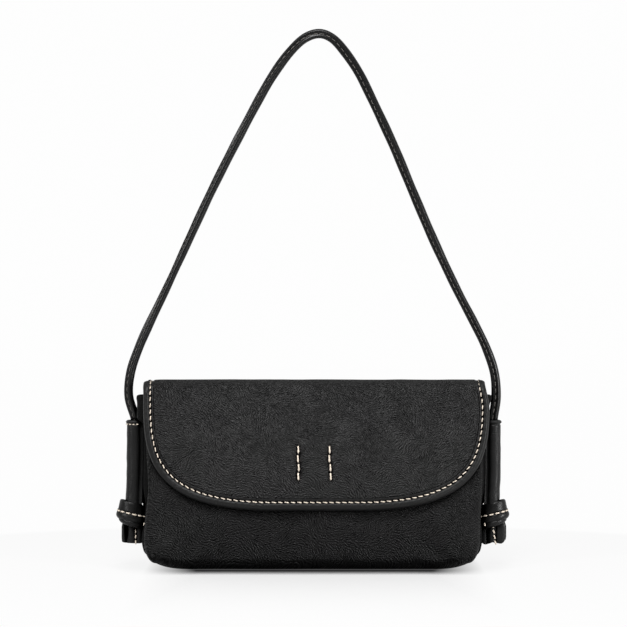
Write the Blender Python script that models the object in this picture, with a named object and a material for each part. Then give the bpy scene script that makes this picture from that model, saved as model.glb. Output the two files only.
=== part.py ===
"""Soft leather shoulder bag: boxy body, front flap, rolled strap knotted below two side sleeves.

Metres, +Z up, the front faces -Y, and the origin is on the floor under the middle of the base.
"""
import math

import bmesh
import bpy
from mathutils import Vector, geometry

# Clearance between pieces that touch, and leather and cloth thicknesses
GAP = 0.0003
LEATHER = 0.0018
LINING = 0.0008
FACING = 0.0012
BOARD = 0.0015

# Body of the bag
BODY_WIDTH = 0.257
BODY_TOP = 0.137
BASE_DEPTH = 0.066
MOUTH_DEPTH = 0.050
BASE_ROLL = 0.009
CORNER_RISE = 0.022
CORNER_INSET = 0.009
END_LIFT = 0.0085
LIFT_FADE = 0.040
BODY_CROWN = 0.006
WALL_TAPER = 1.4
LIFT_POWER = 4
FLAT_BASE_SHARE = 0.62

# Gussets, which are turned in under the ends of the base
GUSSET_DROP = 0.0045
GUSSET_TOP = BODY_TOP - GUSSET_DROP
GUSSET_BULGE = 0.0037
GUSSET_FLARE = 0.0045
GUSSET_FLARE_HEIGHT = 0.019
GUSSET_TUCK = 0.006

# Drop-in lining, pocket and base board
WASHER = 0.0006
LINING_DEPTH = LEATHER + WASHER + 2 * GAP
LINING_DROP = 0.004
LINING_TOP = BODY_TOP - LINING_DROP
FACING_HEIGHT = 0.018
BOARD_END_SPACE = 0.0085
BOARD_SIDE_SPACE = 0.001
BOARD_LENGTH = BODY_WIDTH - 2 * (CORNER_INSET + GUSSET_TUCK + BOARD_END_SPACE)
BOARD_DEPTH = BASE_DEPTH - 2 * (BASE_ROLL + BOARD_SIDE_SPACE)
POCKET_WIDTH = 0.120
POCKET_DROP = 0.029
POCKET_HEIGHT = 0.063
POCKET_HIGH = BODY_TOP - POCKET_DROP
POCKET_LOW = POCKET_HIGH - POCKET_HEIGHT

# Flap
FLAP_WIDTH = 0.2646
FLAP_RISE = 0.0077
FLAP_FALL = 0.0987
FLAP_ROUND_DROP = 0.0047
FLAP_TOP = BODY_TOP + FLAP_RISE
FLAP_LOW = FLAP_TOP - FLAP_FALL
FLAP_ROUND_TOP = FLAP_TOP - FLAP_ROUND_DROP
FLAP_ROUND_POWER = 3.5
FLAP_FLAT_SHARE = 0.3
FLAP_BEND = 0.007
FLAP_CLEARANCE = 0.0012
HINGE_RISE = 0.0015
BAND_HEIGHT = 0.0305
HINGE_HEIGHT = BODY_TOP + HINGE_RISE
BAND_LOW = HINGE_HEIGHT - BAND_HEIGHT
TRIM_SIDE = 0.008
TRIM_BOTTOM = 0.010
TRIM_EDGE = 0.0010
# Trim cross-section: shares of its width from the outer edge, with shares of the leather
TRIM_SHARES = ((0.0, 0.45), (0.05, 0.85), (0.18, 1.1), (0.45, 1.0), (0.62, 0.7), (0.8, 0.95), (0.93, 1.3), (1.0, 1.05))

# Magnetic snap under the flap and the patch that carries its upper half
SNAP_RISE = 0.036
SNAP_HEIGHT = FLAP_LOW + SNAP_RISE
SNAP_RADIUS = 0.0075
SNAP_HALF = 0.0016
SNAP_CHAMFER = 0.0004
SNAP_NUB_RADIUS = 0.0019
SNAP_NUB_HEIGHT = 0.0006
SNAP_NUB_CLEARANCE = 0.0010
WASHER_RADIUS = 0.006
WASHER_BORE = 0.0015
PATCH = 0.0010
PATCH_SIZE = 0.034

# Sleeves on the gussets
SLEEVE_DROP = 0.0205
SLEEVE_LENGTH = 0.061
SLEEVE_TOP = GUSSET_TOP - SLEEVE_DROP
SLEEVE_LOW = SLEEVE_TOP - SLEEVE_LENGTH
SLEEVE_HALF_WIDTH = 0.0075
SLEEVE_HEIGHT = 0.012
SLEEVE_WALL = 0.0016
SLEEVE_FLANGE = 0.005

# Strap, whose ends run down the sleeves and are knotted below them
STRAP_WIDTH = 0.0074
STRAP_DEPTH = 0.0066
STRAP_RISE = 0.3014
STRAP_TOP = SLEEVE_TOP + STRAP_RISE
STRAP_GROOVE_SHARE = 0.3
STRAP_HALF_SPAN = 0.1402
STRAP_LEAN = 0.0035
# Height share from sleeve to apex, half span share, sideways lean share
ARCH_SHARES = (
    (0.065, 1.017, -0.45),
    (0.127, 1.007, -0.45),
    (0.189, 0.963, -0.45),
    (0.251, 0.902, -0.55),
    (0.343, 0.803, -0.7),
    (0.467, 0.679, -0.75),
    (0.591, 0.560, -0.55),
    (0.714, 0.438, -0.1),
    (0.838, 0.305, 0.25),
    (0.900, 0.232, 0.5),
    (0.951, 0.155, 0.65),
    (0.987, 0.079, 0.85),
)
KNOT_DROP = 0.0010
KNOT_HEIGHT = 0.0150
KNOT_TOP = SLEEVE_LOW - KNOT_DROP
KNOT_LOW = KNOT_TOP - KNOT_HEIGHT
KNOT_WIDTH = 0.0200
KNOT_DEPTH = 0.0180
TAIL_LENGTH = 0.0175
TAIL_LOW = KNOT_LOW - TAIL_LENGTH
TAIL_WIDTH = 0.0205
TAIL_DEPTH = 0.0085
# Strap end below the sleeve: height share of the knot or tail, share of width, share of depth, groove share
KNOT_SHARES = ((1.0, 0.46, 0.42, 0.1), (0.93, 0.8, 0.78, 0.0), (0.72, 0.98, 0.96, 0.0), (0.42, 1.0, 1.0, 0.0),
               (0.14, 0.84, 0.82, 0.0), (0.0, 0.6, 0.5, 0.1))
TAIL_SHARES = ((0.78, 0.82, 1.0, 0.35), (0.45, 1.0, 0.95, 0.45), (0.12, 0.96, 0.8, 0.45), (0.0, 0.8, 0.5, 0.35))

# Smoothness of the solids
WALL_STEPS = 9
FLARE_STEPS = 4
ROLL_STEPS = 4
BASE_STEPS = 3
COLUMN_STEPS = 16
GUSSET_STEPS = 8
FLAP_COLUMNS = 16
FLAP_ROUND_STEPS = 12
BOTTOM_STEPS = 6
SLEEVE_STEPS = 8
STRAP_SIDES = 14
ARCH_STEPS = 4
ROUND_STEPS = 24

# Colours as linear red, green, blue, with roughness and metallic
FINISHES = {
    "black_leather": ((0.030, 0.030, 0.030), 0.55, 0.0),
    "lining_cloth": ((0.022, 0.022, 0.024), 0.85, 0.0),
    "board": ((0.25, 0.22, 0.18), 0.9, 0.0),
    "snap_metal": ((0.55, 0.52, 0.46), 0.3, 1.0),
}

# Values that follow from the sizes above
FLAP_THICKNESS = LINING + GAP + LEATHER
FLAP_UNDER = FLAP_TOP - FLAP_THICKNESS
BEND_HEIGHT = FLAP_UNDER - FLAP_BEND
BACK_BEND = FLAP_UNDER - HINGE_HEIGHT
SNAP_STACK = 2 * SNAP_HALF + PATCH + 5 * GAP


def clear_scene():
    for thing in list(bpy.data.objects):
        bpy.data.objects.remove(thing, do_unlink=True)


def finish(name):
    """Return the named Principled material, made once."""
    found = bpy.data.materials.get(name)
    if found:
        return found
    colour, roughness, metallic = FINISHES[name]
    made = bpy.data.materials.new(name)
    made.use_nodes = True
    shader = made.node_tree.nodes["Principled BSDF"]
    shader.inputs["Base Color"].default_value = (*colour, 1.0)
    shader.inputs["Roughness"].default_value = roughness
    shader.inputs["Metallic"].default_value = metallic
    return made


def add_piece(name, points, faces, material, carrier=None):
    """Make one closed object, with its origin on the carrier's axis if it has one."""
    origin = carrier.location if carrier else Vector()
    mesh = bpy.data.meshes.new(name)
    mesh.from_pydata([Vector(p) - origin for p in points], [], faces)
    work = bmesh.new()
    work.from_mesh(mesh)
    bmesh.ops.recalc_face_normals(work, faces=work.faces)
    bmesh.ops.triangulate(work, faces=[f for f in work.faces if len(f.verts) > 4])
    work.to_mesh(mesh)
    work.free()
    mesh.materials.append(finish(material))
    mesh.shade_smooth()
    mesh.set_sharp_from_angle(angle=math.radians(40))
    piece = bpy.data.objects.new(name, mesh)
    bpy.context.collection.objects.link(piece)
    if carrier:
        piece.parent = carrier
    return piece


def add_axis(name, place):
    """Make the empty that marks a joint's axis."""
    axis = bpy.data.objects.new(name, None)
    axis.empty_display_size = SLEEVE_HEIGHT
    axis.location = place
    bpy.context.collection.objects.link(axis)
    return axis


def sheet(name, outer, inner, material, carrier=None):
    """Close two matching grids of points into one thin solid."""
    rows, columns = len(outer), len(outer[0])
    points = [p for row in outer for p in row] + [p for row in inner for p in row]
    far = rows * columns
    faces = []
    for i in range(rows - 1):
        for j in range(columns - 1):
            quad = (i * columns + j, i * columns + j + 1, (i + 1) * columns + j + 1, (i + 1) * columns + j)
            faces.append(quad)
            faces.append(tuple(far + k for k in reversed(quad)))
    rim = [j for j in range(columns)]
    rim += [i * columns + columns - 1 for i in range(1, rows)]
    rim += [(rows - 1) * columns + j for j in range(columns - 2, -1, -1)]
    rim += [i * columns for i in range(rows - 2, 0, -1)]
    for a, b in zip(rim, rim[1:] + rim[:1]):
        faces.append((b, a, far + a, far + b))
    return add_piece(name, points, faces, material, carrier)


def loft(name, rings, material, carrier=None):
    """Join closed rings of points into one solid with flat ends."""
    sides = len(rings[0])
    points = [p for ring in rings for p in ring]
    faces = [tuple(reversed(range(sides)))]
    faces.append(tuple(range((len(rings) - 1) * sides, len(rings) * sides)))
    for i in range(len(rings) - 1):
        for j in range(sides):
            k = (j + 1) % sides
            faces.append((i * sides + j, i * sides + k, (i + 1) * sides + k, (i + 1) * sides + j))
    return add_piece(name, points, faces, material, carrier)


def turned(name, profile, material, place, tilt, carrier=None):
    """Turn a profile of (radius, height) about its own axis, which points forwards and leans by tilt."""
    points = []
    rings = []
    for radius, height in profile:
        if radius == 0:
            rings.append([len(points)])
            points.append((0, 0, height))
            continue
        rings.append(range(len(points), len(points) + ROUND_STEPS))
        for k in range(ROUND_STEPS):
            angle = math.tau * k / ROUND_STEPS
            points.append((radius * math.cos(angle), radius * math.sin(angle), height))
    faces = []
    pairs = list(zip(rings, rings[1:]))
    if len(rings[0]) > 1:
        pairs.append((rings[-1], rings[0]))
    for low, high in pairs:
        for k in range(ROUND_STEPS):
            face = [low[k % len(low)], low[(k + 1) % len(low)], high[(k + 1) % len(high)], high[k % len(high)]]
            faces.append(tuple(dict.fromkeys(face)))
    piece = add_piece(name, points, faces, material)
    piece.rotation_euler = (math.pi / 2 - tilt, 0, 0)
    piece.location = place
    if carrier:
        piece.location = place - carrier.location
        piece.parent = carrier
    return piece


def spread(low, high, steps):
    return [low + (high - low) * k / steps for k in range(steps + 1)]


def half_depth(height):
    """Half the depth of the body at a height: deepest at the base, narrower at the mouth."""
    share = min(1, max(0, (height - BASE_ROLL) / (BODY_TOP - BASE_ROLL)))
    return (BASE_DEPTH + (MOUTH_DEPTH - BASE_DEPTH) * share ** WALL_TAPER) / 2


def half_width(height):
    """Half the width of the front and back at a height, rounded in at the low corners."""
    fall = max(0, 1 - height / CORNER_RISE)
    return BODY_WIDTH / 2 - CORNER_INSET * (1 - math.sqrt(1 - fall * fall))


def crown(x, height):
    """How far the front and back swell at a place."""
    across = min(1, abs(x) / half_width(height))
    up = min(1, max(0, height / BODY_TOP))
    return BODY_CROWN * (1 - across * across) * math.sin(math.pi * up)


def end_lift(x, height):
    """How far the ends of the base curl up off the floor."""
    flat = FLAT_BASE_SHARE * BODY_WIDTH / 2
    end = BODY_WIDTH / 2 - CORNER_INSET
    share = min(1, max(0, (abs(x) - flat) / (end - flat)))
    return END_LIFT * share ** LIFT_POWER * max(0, 1 - height / LIFT_FADE)


def body_stations(heights, side):
    """Places down one wall and round its roll, as (side, height or None, roll angle)."""
    walls = [(side, height, 0) for height in heights]
    rolls = [(side, None, angle) for angle in spread(0, math.pi / 2, ROLL_STEPS)[1:]]
    return walls + rolls


def station_height(station):
    return BASE_ROLL * (1 - math.sin(station[2])) if station[1] is None else station[1]


def body_point(x, station, depth):
    """A point at a depth inside the outer surface of the wall or of the roll below it."""
    side, height, angle = station
    level = station_height(station)
    lift = end_lift(x, level)
    swell = crown(x, level) * math.cos(angle)
    if height is None:
        reach = BASE_DEPTH / 2 - BASE_ROLL + (BASE_ROLL - depth) * math.cos(angle) + swell
        return Vector((x, side * reach, BASE_ROLL - (BASE_ROLL - depth) * math.sin(angle) + lift))
    return Vector((x, side * (half_depth(height) + swell - depth), height + lift))


def base_point(x, y, depth):
    return Vector((x, y, depth + end_lift(x, 0)))


def columns(full, inset):
    """Places across the bag to an inset from its ends, shared by every layer so that they nest."""
    least = half_width(0)
    shares = [math.sin(math.pi / 2 * share) for share in spread(-1, 1, COLUMN_STEPS)]
    for knot in (BOARD_LENGTH / 2 / least, 1 - GUSSET_TUCK / least):
        shares += [-knot, knot]
    reach = 1 - (inset + LEATHER / 2) / least
    inside = [full * share for share in sorted(shares) if abs(share) < reach]
    return [inset - full] + inside + [full - inset]


def wall_grid(stations, inset, depth):
    """Points over a wall and its roll, an inset in from the ends and a depth in from outside."""
    return [[body_point(x, s, depth) for x in columns(half_width(station_height(s)), inset)] for s in stations]


def base_grid(inset, reach, depth):
    across = columns(half_width(0), inset)
    return [[base_point(x, y, depth) for x in across] for y in spread(-reach, reach, BASE_STEPS)]


def build_shell():
    """Front and back, which roll under at the bottom, and the base between them."""
    for name, side in (("front_panel", -1), ("back_panel", 1)):
        stations = body_stations(spread(BODY_TOP, BASE_ROLL, WALL_STEPS), side)
        sheet(name, wall_grid(stations, 0, 0), wall_grid(stations, 0, LEATHER), "black_leather")
    reach = BASE_DEPTH / 2 - BASE_ROLL - GAP
    sheet("base_panel", base_grid(0, reach, 0), base_grid(0, reach, LEATHER), "black_leather")
    under = LEATHER + GAP
    inset = half_width(0) - BOARD_LENGTH / 2
    sheet("base_board", base_grid(inset, BOARD_DEPTH / 2, under),
          base_grid(inset, BOARD_DEPTH / 2, under + BOARD), "board")


def gusset_bulge(height):
    """How far the middle of a gusset stands out past its edges, with a flare at the mouth."""
    rise = min(1, max(0, (height - GUSSET_TOP + GUSSET_FLARE_HEIGHT) / GUSSET_FLARE_HEIGHT))
    return GUSSET_BULGE + GUSSET_FLARE * rise * rise * (3 - 2 * rise)


def end_rows(heights, inset, depth, bulging, thickness):
    """Rows of points down one end wall, on its outer or inner face, closed in under the end."""
    rows = []
    for station in body_stations(heights, 1):
        angle = station[2]
        level = station_height(station)
        edge = body_point(half_width(level) - inset, station, depth)
        swell = gusset_bulge(level) * math.cos(angle) if bulging else 0
        shift = Vector((-thickness * math.cos(angle), 0, thickness * math.sin(angle)))
        rows.append([Vector((edge.x + swell * (1 - v * v), v * edge.y, edge.z)) + shift
                     for v in spread(-1, 1, GUSSET_STEPS)])
    return rows


def mirrored(rows, side):
    return [[Vector((side * p.x, p.y, p.z)) for p in row] for row in rows]


def tucked(rows, depth):
    """Add the turned-in edge that lies on the end of the base."""
    x = half_width(0) - GUSSET_TUCK
    reach = abs(rows[-1][0].y)
    return rows + [[base_point(x, v * reach, depth) for v in spread(-1, 1, GUSSET_STEPS)]]


def build_gussets():
    depth = LEATHER + GAP
    flare = GUSSET_TOP - GUSSET_FLARE_HEIGHT
    heights = spread(GUSSET_TOP, flare, FLARE_STEPS) + spread(flare, BASE_ROLL, WALL_STEPS)[1:]
    outer = tucked(end_rows(heights, 0, depth, True, 0), depth)
    inner = tucked(end_rows(heights, 0, depth, True, LEATHER), depth + LEATHER)
    for name, side in (("gusset_left", -1), ("gusset_right", 1)):
        sheet(name, mirrored(outer, side), mirrored(inner, side), "black_leather")


def lining_depth(station):
    """The lining hangs inside the walls and rises over the base board."""
    return LINING_DEPTH + (BOARD + 2 * GAP + LEATHER - LINING_DEPTH) * math.sin(station[2]) ** 2


def lining_grid(thickness):
    inset = GUSSET_TUCK + 2 * GAP
    rows = []
    for side in (-1, 1):
        half = []
        for s in body_stations(spread(LINING_TOP, BASE_ROLL, WALL_STEPS), side):
            across = columns(half_width(station_height(s)), inset)
            half.append([body_point(x, s, lining_depth(s) + thickness) for x in across])
        rows.append(half)
    reach = BASE_DEPTH / 2 - BASE_ROLL
    low = base_grid(inset, reach, BOARD + 2 * GAP + LEATHER + thickness)
    return rows[0] + low[1:-1] + list(reversed(rows[1]))


def build_lining():
    """Cloth lining: one piece down the front, over the board and up the back, and two ends."""
    sheet("lining_body", lining_grid(0), lining_grid(LINING), "lining_cloth")
    inset = GUSSET_TUCK + 2 * GAP
    depth = BOARD + 3 * GAP + LEATHER + LINING
    heights = spread(LINING_TOP, BASE_ROLL, WALL_STEPS)
    outer = end_rows(heights, inset, depth, False, 0)
    inner = end_rows(heights, inset, depth, False, LINING)
    for name, side in (("lining_end_left", -1), ("lining_end_right", 1)):
        sheet(name, mirrored(outer, side), mirrored(inner, side), "lining_cloth")


def wall_patch(name, side, half, low, high, depth, thickness, material, steps):
    """A flat sewn piece over part of a wall."""
    stations = [(side, height, 0) for height in spread(high, low, steps)]
    across = columns(half_width(high), half_width(high) - half)
    grids = [[[body_point(x, s, d) for x in across] for s in stations] for d in (depth, depth + thickness)]
    sheet(name, grids[0], grids[1], material)


def build_inside_trim():
    inside = LINING_DEPTH + LINING + GAP
    half = half_width(BODY_TOP) - GUSSET_TUCK - LINING - 4 * GAP
    low = BODY_TOP - FACING_HEIGHT
    wall_patch("mouth_facing_front", -1, half, low, BODY_TOP, inside, FACING, "black_leather", 3)
    wall_patch("mouth_facing_back", 1, half, low, BODY_TOP, inside, FACING, "black_leather", 3)
    wall_patch("slip_pocket", 1, POCKET_WIDTH / 2, POCKET_LOW, POCKET_HIGH, inside, LINING, "lining_cloth", 5)


def snap_bump(x, height):
    """Share of the snap's thickness by which the flap stands off at a place: all of it at the snap."""
    low_run = SNAP_HEIGHT - FLAP_LOW
    run = BEND_HEIGHT - SNAP_HEIGHT if height > SNAP_HEIGHT else low_run
    up = min(1, abs(height - SNAP_HEIGHT) / run)
    across = min(1, abs(x) / (FLAP_WIDTH / 2))
    return math.cos(math.pi / 2 * up) * (1 - across * across) ** 2


def flap_point(x, path, offset):
    """A point on the flap at a distance along it from the hinge, an offset out from its underside."""
    back_middle = half_depth(HINGE_HEIGHT) + GAP + LEATHER - FLAP_THICKNESS - BACK_BEND
    front_middle = FLAP_BEND - half_depth(BEND_HEIGHT) - FLAP_CLEARANCE
    turn, top, bend = BACK_BEND * math.pi / 2, back_middle - front_middle, FLAP_BEND * math.pi / 2
    if path < turn:
        angle = path / BACK_BEND
        radius = BACK_BEND + offset
        return Vector((x, back_middle + radius * math.cos(angle), HINGE_HEIGHT + radius * math.sin(angle)))
    if path < turn + top:
        return Vector((x, back_middle - (path - turn), FLAP_UNDER + offset))
    if path < turn + top + bend:
        angle = (path - turn - top) / FLAP_BEND
        radius = FLAP_BEND + offset
        return Vector((x, front_middle - radius * math.sin(angle), BEND_HEIGHT + radius * math.cos(angle)))
    height = BEND_HEIGHT - (path - turn - top - bend)
    stand_off = FLAP_CLEARANCE + (SNAP_STACK - FLAP_CLEARANCE) * snap_bump(x, height)
    return Vector((x, -(half_depth(height) + crown(x, height) + stand_off + offset), height))


def flap_path(height):
    """Distance along the flap, from the hinge, to a height on its front."""
    back_middle = half_depth(HINGE_HEIGHT) + GAP + LEATHER - FLAP_THICKNESS - BACK_BEND
    front_middle = FLAP_BEND - half_depth(BEND_HEIGHT) - FLAP_CLEARANCE
    return (BACK_BEND + FLAP_BEND) * math.pi / 2 + back_middle - front_middle + BEND_HEIGHT - height


def flap_outline():
    """The flap's flat outline as (x, path): down the left side, along the bottom, up the right."""
    half = FLAP_WIDTH / 2
    drop = FLAP_ROUND_TOP - FLAP_LOW
    turn = BACK_BEND * math.pi / 2
    bend = FLAP_BEND * math.pi / 2
    front = flap_path(BEND_HEIGHT)
    straight = spread(0, turn, 3) + spread(turn, front - bend, 3)[1:] + spread(front - bend, front, 4)[1:]
    side = [(-half, path) for path in straight]
    first = (FLAP_ROUND_TOP - BEND_HEIGHT) / drop
    last = (1 - FLAP_FLAT_SHARE ** FLAP_ROUND_POWER) ** (1 / FLAP_ROUND_POWER)
    for k in range(1, FLAP_ROUND_STEPS + 1):
        fall = first + (last - first) * math.sin(math.pi / 2 * k / FLAP_ROUND_STEPS)
        width = half * (1 - fall ** FLAP_ROUND_POWER) ** (1 / FLAP_ROUND_POWER)
        side.append((-width, flap_path(FLAP_ROUND_TOP - drop * fall)))
    low = side[-1][1]
    bottom = [(x, low) for x in spread(side[-1][0], -side[-1][0], BOTTOM_STEPS)[1:-1]]
    return side, side + bottom + [(-x, path) for x, path in reversed(side)]


def moved_in(outline, index, inward):
    """The place at an outline point, moved in square to the outline; widths follow the trim's."""
    before = outline[max(0, index - 1)]
    after = outline[min(len(outline) - 1, index + 1)]
    along = Vector((after[0] - before[0], after[1] - before[1])).normalized()
    normal = Vector((along.y, -along.x))
    x, path = outline[index]
    reach = inward(abs(normal.y))
    return x + normal.x * reach, max(0, path + normal.y * reach)


def trim_width(facing_down):
    return TRIM_SIDE + (TRIM_BOTTOM - TRIM_SIDE) * facing_down


def flap_grid(inward, low, high):
    """Two grids over the flap inside its outline, at two offsets."""
    side, outline = flap_outline()
    grids = []
    for offset in (low, high):
        rows = []
        for index in range(len(side)):
            x, path = moved_in(outline, index, inward)
            rows.append([flap_point(-x * share, path, offset) for share in spread(-1, 1, FLAP_COLUMNS)])
        grids.append(rows)
    return grids


def build_flap(hinge):
    under, over = flap_grid(lambda down: TRIM_EDGE, 0, LINING)
    sheet("flap_lining", over, under, "lining_cloth", hinge)
    under, over = flap_grid(lambda down: trim_width(down) + GAP, LINING + GAP, FLAP_THICKNESS)
    sheet("flap_panel", over, under, "black_leather", hinge)
    outline = flap_outline()[1]
    upper, lower = [], []
    for index in range(len(outline)):
        row_up, row_low = [], []
        for share, rise in TRIM_SHARES:
            x, path = moved_in(outline, index, lambda down, s=share: s * trim_width(down))
            row_up.append(flap_point(x, path, LINING + GAP + rise * LEATHER))
            row_low.append(flap_point(x, path, LINING + GAP))
        upper.append(row_up)
        lower.append(row_low)
    sheet("flap_trim", upper, lower, "black_leather", hinge)


def build_back_band():
    """The end of the flap leather, sewn down the back below the hinge."""
    stations = [(1, height, 0) for height in spread(HINGE_HEIGHT - GAP, BAND_LOW, 3)]
    grids = [[[body_point(x, s, -d) for x in spread(-FLAP_WIDTH / 2, FLAP_WIDTH / 2, COLUMN_STEPS)]
              for s in stations] for d in (GAP + LEATHER, GAP)]
    sheet("back_band", grids[0], grids[1], "black_leather")


def wall_lean(height):
    """Angle of the front wall from upright at the snap."""
    step = GAP
    here = half_depth(height + step) + crown(0, height + step)
    return math.atan2(here - half_depth(height) - crown(0, height), step)


def build_snap(hinge):
    """Socket on the front with its washer behind, and stud on a patch inside the flap."""
    lean = -wall_lean(SNAP_HEIGHT)
    face = body_point(0, (-1, SNAP_HEIGHT, 0), 0)
    out = Vector((0, -math.cos(lean), math.sin(lean)))
    rim = SNAP_HALF - SNAP_CHAMFER
    hollow = SNAP_NUB_RADIUS + SNAP_NUB_CLEARANCE
    depth = SNAP_HALF - SNAP_NUB_HEIGHT - GAP
    socket = [(0, 0), (SNAP_RADIUS, 0), (SNAP_RADIUS, rim), (SNAP_RADIUS - SNAP_CHAMFER, SNAP_HALF),
              (hollow, SNAP_HALF), (hollow, depth), (0, depth)]
    turned("snap_socket", socket, "snap_metal", face + out * GAP, lean)
    washer = [(WASHER_BORE, 0), (WASHER_RADIUS, 0), (WASHER_RADIUS, WASHER), (WASHER_BORE, WASHER)]
    turned("socket_washer", washer, "snap_metal", face - out * (LEATHER + GAP + WASHER), lean)
    stud = [(0, 0), (SNAP_RADIUS, 0), (SNAP_RADIUS, rim), (SNAP_RADIUS - SNAP_CHAMFER, SNAP_HALF),
            (SNAP_NUB_RADIUS + SNAP_CHAMFER, SNAP_HALF), (SNAP_NUB_RADIUS, SNAP_HALF + SNAP_NUB_HEIGHT),
            (0, SNAP_HALF + SNAP_NUB_HEIGHT)]
    back = face + out * (2 * SNAP_HALF + 2 * GAP)
    turned("snap_stud", stud, "snap_metal", back, lean + math.pi, hinge)
    half = PATCH_SIZE / 2
    paths = [flap_path(height) for height in spread(SNAP_HEIGHT + half, SNAP_HEIGHT - half, 4)]
    grids = [[[flap_point(x, path, -d) for x in spread(-half, half, 4)] for path in paths]
             for d in (GAP, GAP + PATCH)]
    sheet("closure_patch", grids[0], grids[1], "black_leather", hinge)


def gusset_x(y, height):
    """How far out the gusset's outer face stands at a place above the curled-up end."""
    reach = half_depth(height) - LEATHER - GAP
    return half_width(height) + gusset_bulge(height) * (1 - (y / reach) ** 2)


def strap_x():
    """Where the strap runs in its sleeve, against the outer wall of it."""
    return gusset_x(0, SLEEVE_TOP) + SLEEVE_HEIGHT - SLEEVE_WALL - GAP - STRAP_WIDTH / 2


def build_sleeves():
    """A strip of leather on each gusset, sewn down along both edges round a channel for the strap."""
    flange = SLEEVE_HALF_WIDTH + SLEEVE_FLANGE
    inner = SLEEVE_HALF_WIDTH - SLEEVE_WALL
    shape = [(-flange, GAP), (-flange, GAP + SLEEVE_WALL)]
    for angle in spread(math.pi, 0, SLEEVE_STEPS):
        rise = (SLEEVE_HEIGHT - SLEEVE_WALL - GAP) * math.sin(angle)
        shape.append((SLEEVE_HALF_WIDTH * math.cos(angle), GAP + SLEEVE_WALL + rise))
    shape += [(flange, GAP + SLEEVE_WALL), (flange, GAP)]
    for angle in spread(0, math.pi, SLEEVE_STEPS):
        shape.append((inner * math.cos(angle), GAP + (SLEEVE_HEIGHT - SLEEVE_WALL - GAP) * math.sin(angle)))
    for name, side in (("sleeve_left", -1), ("sleeve_right", 1)):
        rings = [[Vector((side * (gusset_x(y, z) + h), y, z)) for y, h in shape]
                 for z in spread(SLEEVE_LOW, SLEEVE_TOP, SLEEVE_STEPS)]
        loft(name, rings, "black_leather")


def strap_section(width, depth, groove):
    """Section of the rolled strap: two lobes side by side with a groove between them."""
    ring = []
    for k in range(STRAP_SIDES):
        angle = math.tau * k / STRAP_SIDES
        pinch = 1 - groove * abs(math.sin(angle)) ** 6
        ring.append((width / 2 * math.cos(angle), depth / 2 * math.sin(angle) * pinch))
    return ring


def build_strap_ends():
    """The strap down each sleeve, its knot below the sleeve and its spread tail."""
    sizes = [(SLEEVE_TOP, STRAP_WIDTH, STRAP_DEPTH, STRAP_GROOVE_SHARE),
             (SLEEVE_LOW - GAP, STRAP_WIDTH, STRAP_DEPTH, STRAP_GROOVE_SHARE)]
    for up, wide, deep, groove in KNOT_SHARES:
        sizes.append((KNOT_LOW + (KNOT_TOP - KNOT_LOW) * up, KNOT_WIDTH * wide, KNOT_DEPTH * deep, groove))
    for up, wide, deep, groove in TAIL_SHARES:
        sizes.append((TAIL_LOW + (KNOT_LOW - TAIL_LOW) * up, TAIL_WIDTH * wide, TAIL_DEPTH * deep, groove))
    for name, side in (("strap_end_left", -1), ("strap_end_right", 1)):
        rings = []
        for z, width, depth, groove in sizes:
            middle = max(strap_x(), gusset_x(0, SLEEVE_LOW) + 2 * GAP + width / 2)
            rings.append([Vector((side * (middle + a), b, z)) for a, b in strap_section(width, depth, groove)])
        loft(name, rings, "black_leather")


def smooth_curve(knots, steps):
    """Points on a curve through the knots, each stretch bent by the knots either side of it."""
    before = knots[0] + (knots[0] - knots[1])
    after = knots[-1] + (knots[-1] - knots[-2])
    padded = [before] + knots + [after]
    points = []
    for a, b, c, d in zip(padded, padded[1:], padded[2:], padded[3:]):
        stretch = geometry.interpolate_bezier(b, b + (c - a) / 6, c - (d - b) / 6, c, steps + 1)
        points += stretch[:-1]
    return points + [knots[-1]]


def arch_knots():
    """The strap's route from the left sleeve over the apex to the right sleeve."""
    start = SLEEVE_TOP + GAP
    legs = {}
    for side in (-1, 1):
        legs[side] = [Vector((side * strap_x(), 0, start))]
        for up, out, lean in ARCH_SHARES:
            x = side * STRAP_HALF_SPAN * out + STRAP_LEAN * lean
            legs[side].append(Vector((x, 0, SLEEVE_TOP + STRAP_RISE * up)))
    apex = Vector((STRAP_LEAN, 0, STRAP_TOP))
    return legs[-1] + [apex] + list(reversed(legs[1]))


def build_strap_arch(pivot):
    """The free part of the strap, standing in a tall arch."""
    path = smooth_curve(arch_knots(), ARCH_STEPS)
    rings = []
    for index, here in enumerate(path):
        along = (path[min(len(path) - 1, index + 1)] - path[max(0, index - 1)]).normalized()
        if index in (0, len(path) - 1):
            along = Vector((0, 0, 1 if index == 0 else -1))
        across = Vector((along.z, 0, -along.x))
        section = strap_section(STRAP_WIDTH, STRAP_DEPTH, STRAP_GROOVE_SHARE)
        rings.append([here + across * a + Vector((0, b, 0)) for a, b in section])
    loft("strap_arch", rings, "black_leather", pivot)


def main():
    clear_scene()
    band_face = half_depth(HINGE_HEIGHT) + GAP + LEATHER
    hinge = add_axis("flap_hinge", Vector((0, band_face + GAP, HINGE_HEIGHT - GAP / 2)))
    pivot = add_axis("strap_pivot", Vector((0, 0, SLEEVE_TOP)))
    build_shell()
    build_gussets()
    build_lining()
    build_inside_trim()
    build_back_band()
    build_flap(hinge)
    build_snap(hinge)
    build_sleeves()
    build_strap_ends()
    build_strap_arch(pivot)


main()
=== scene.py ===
"""Looks of the soft leather shoulder bag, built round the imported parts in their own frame."""
import math

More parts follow.
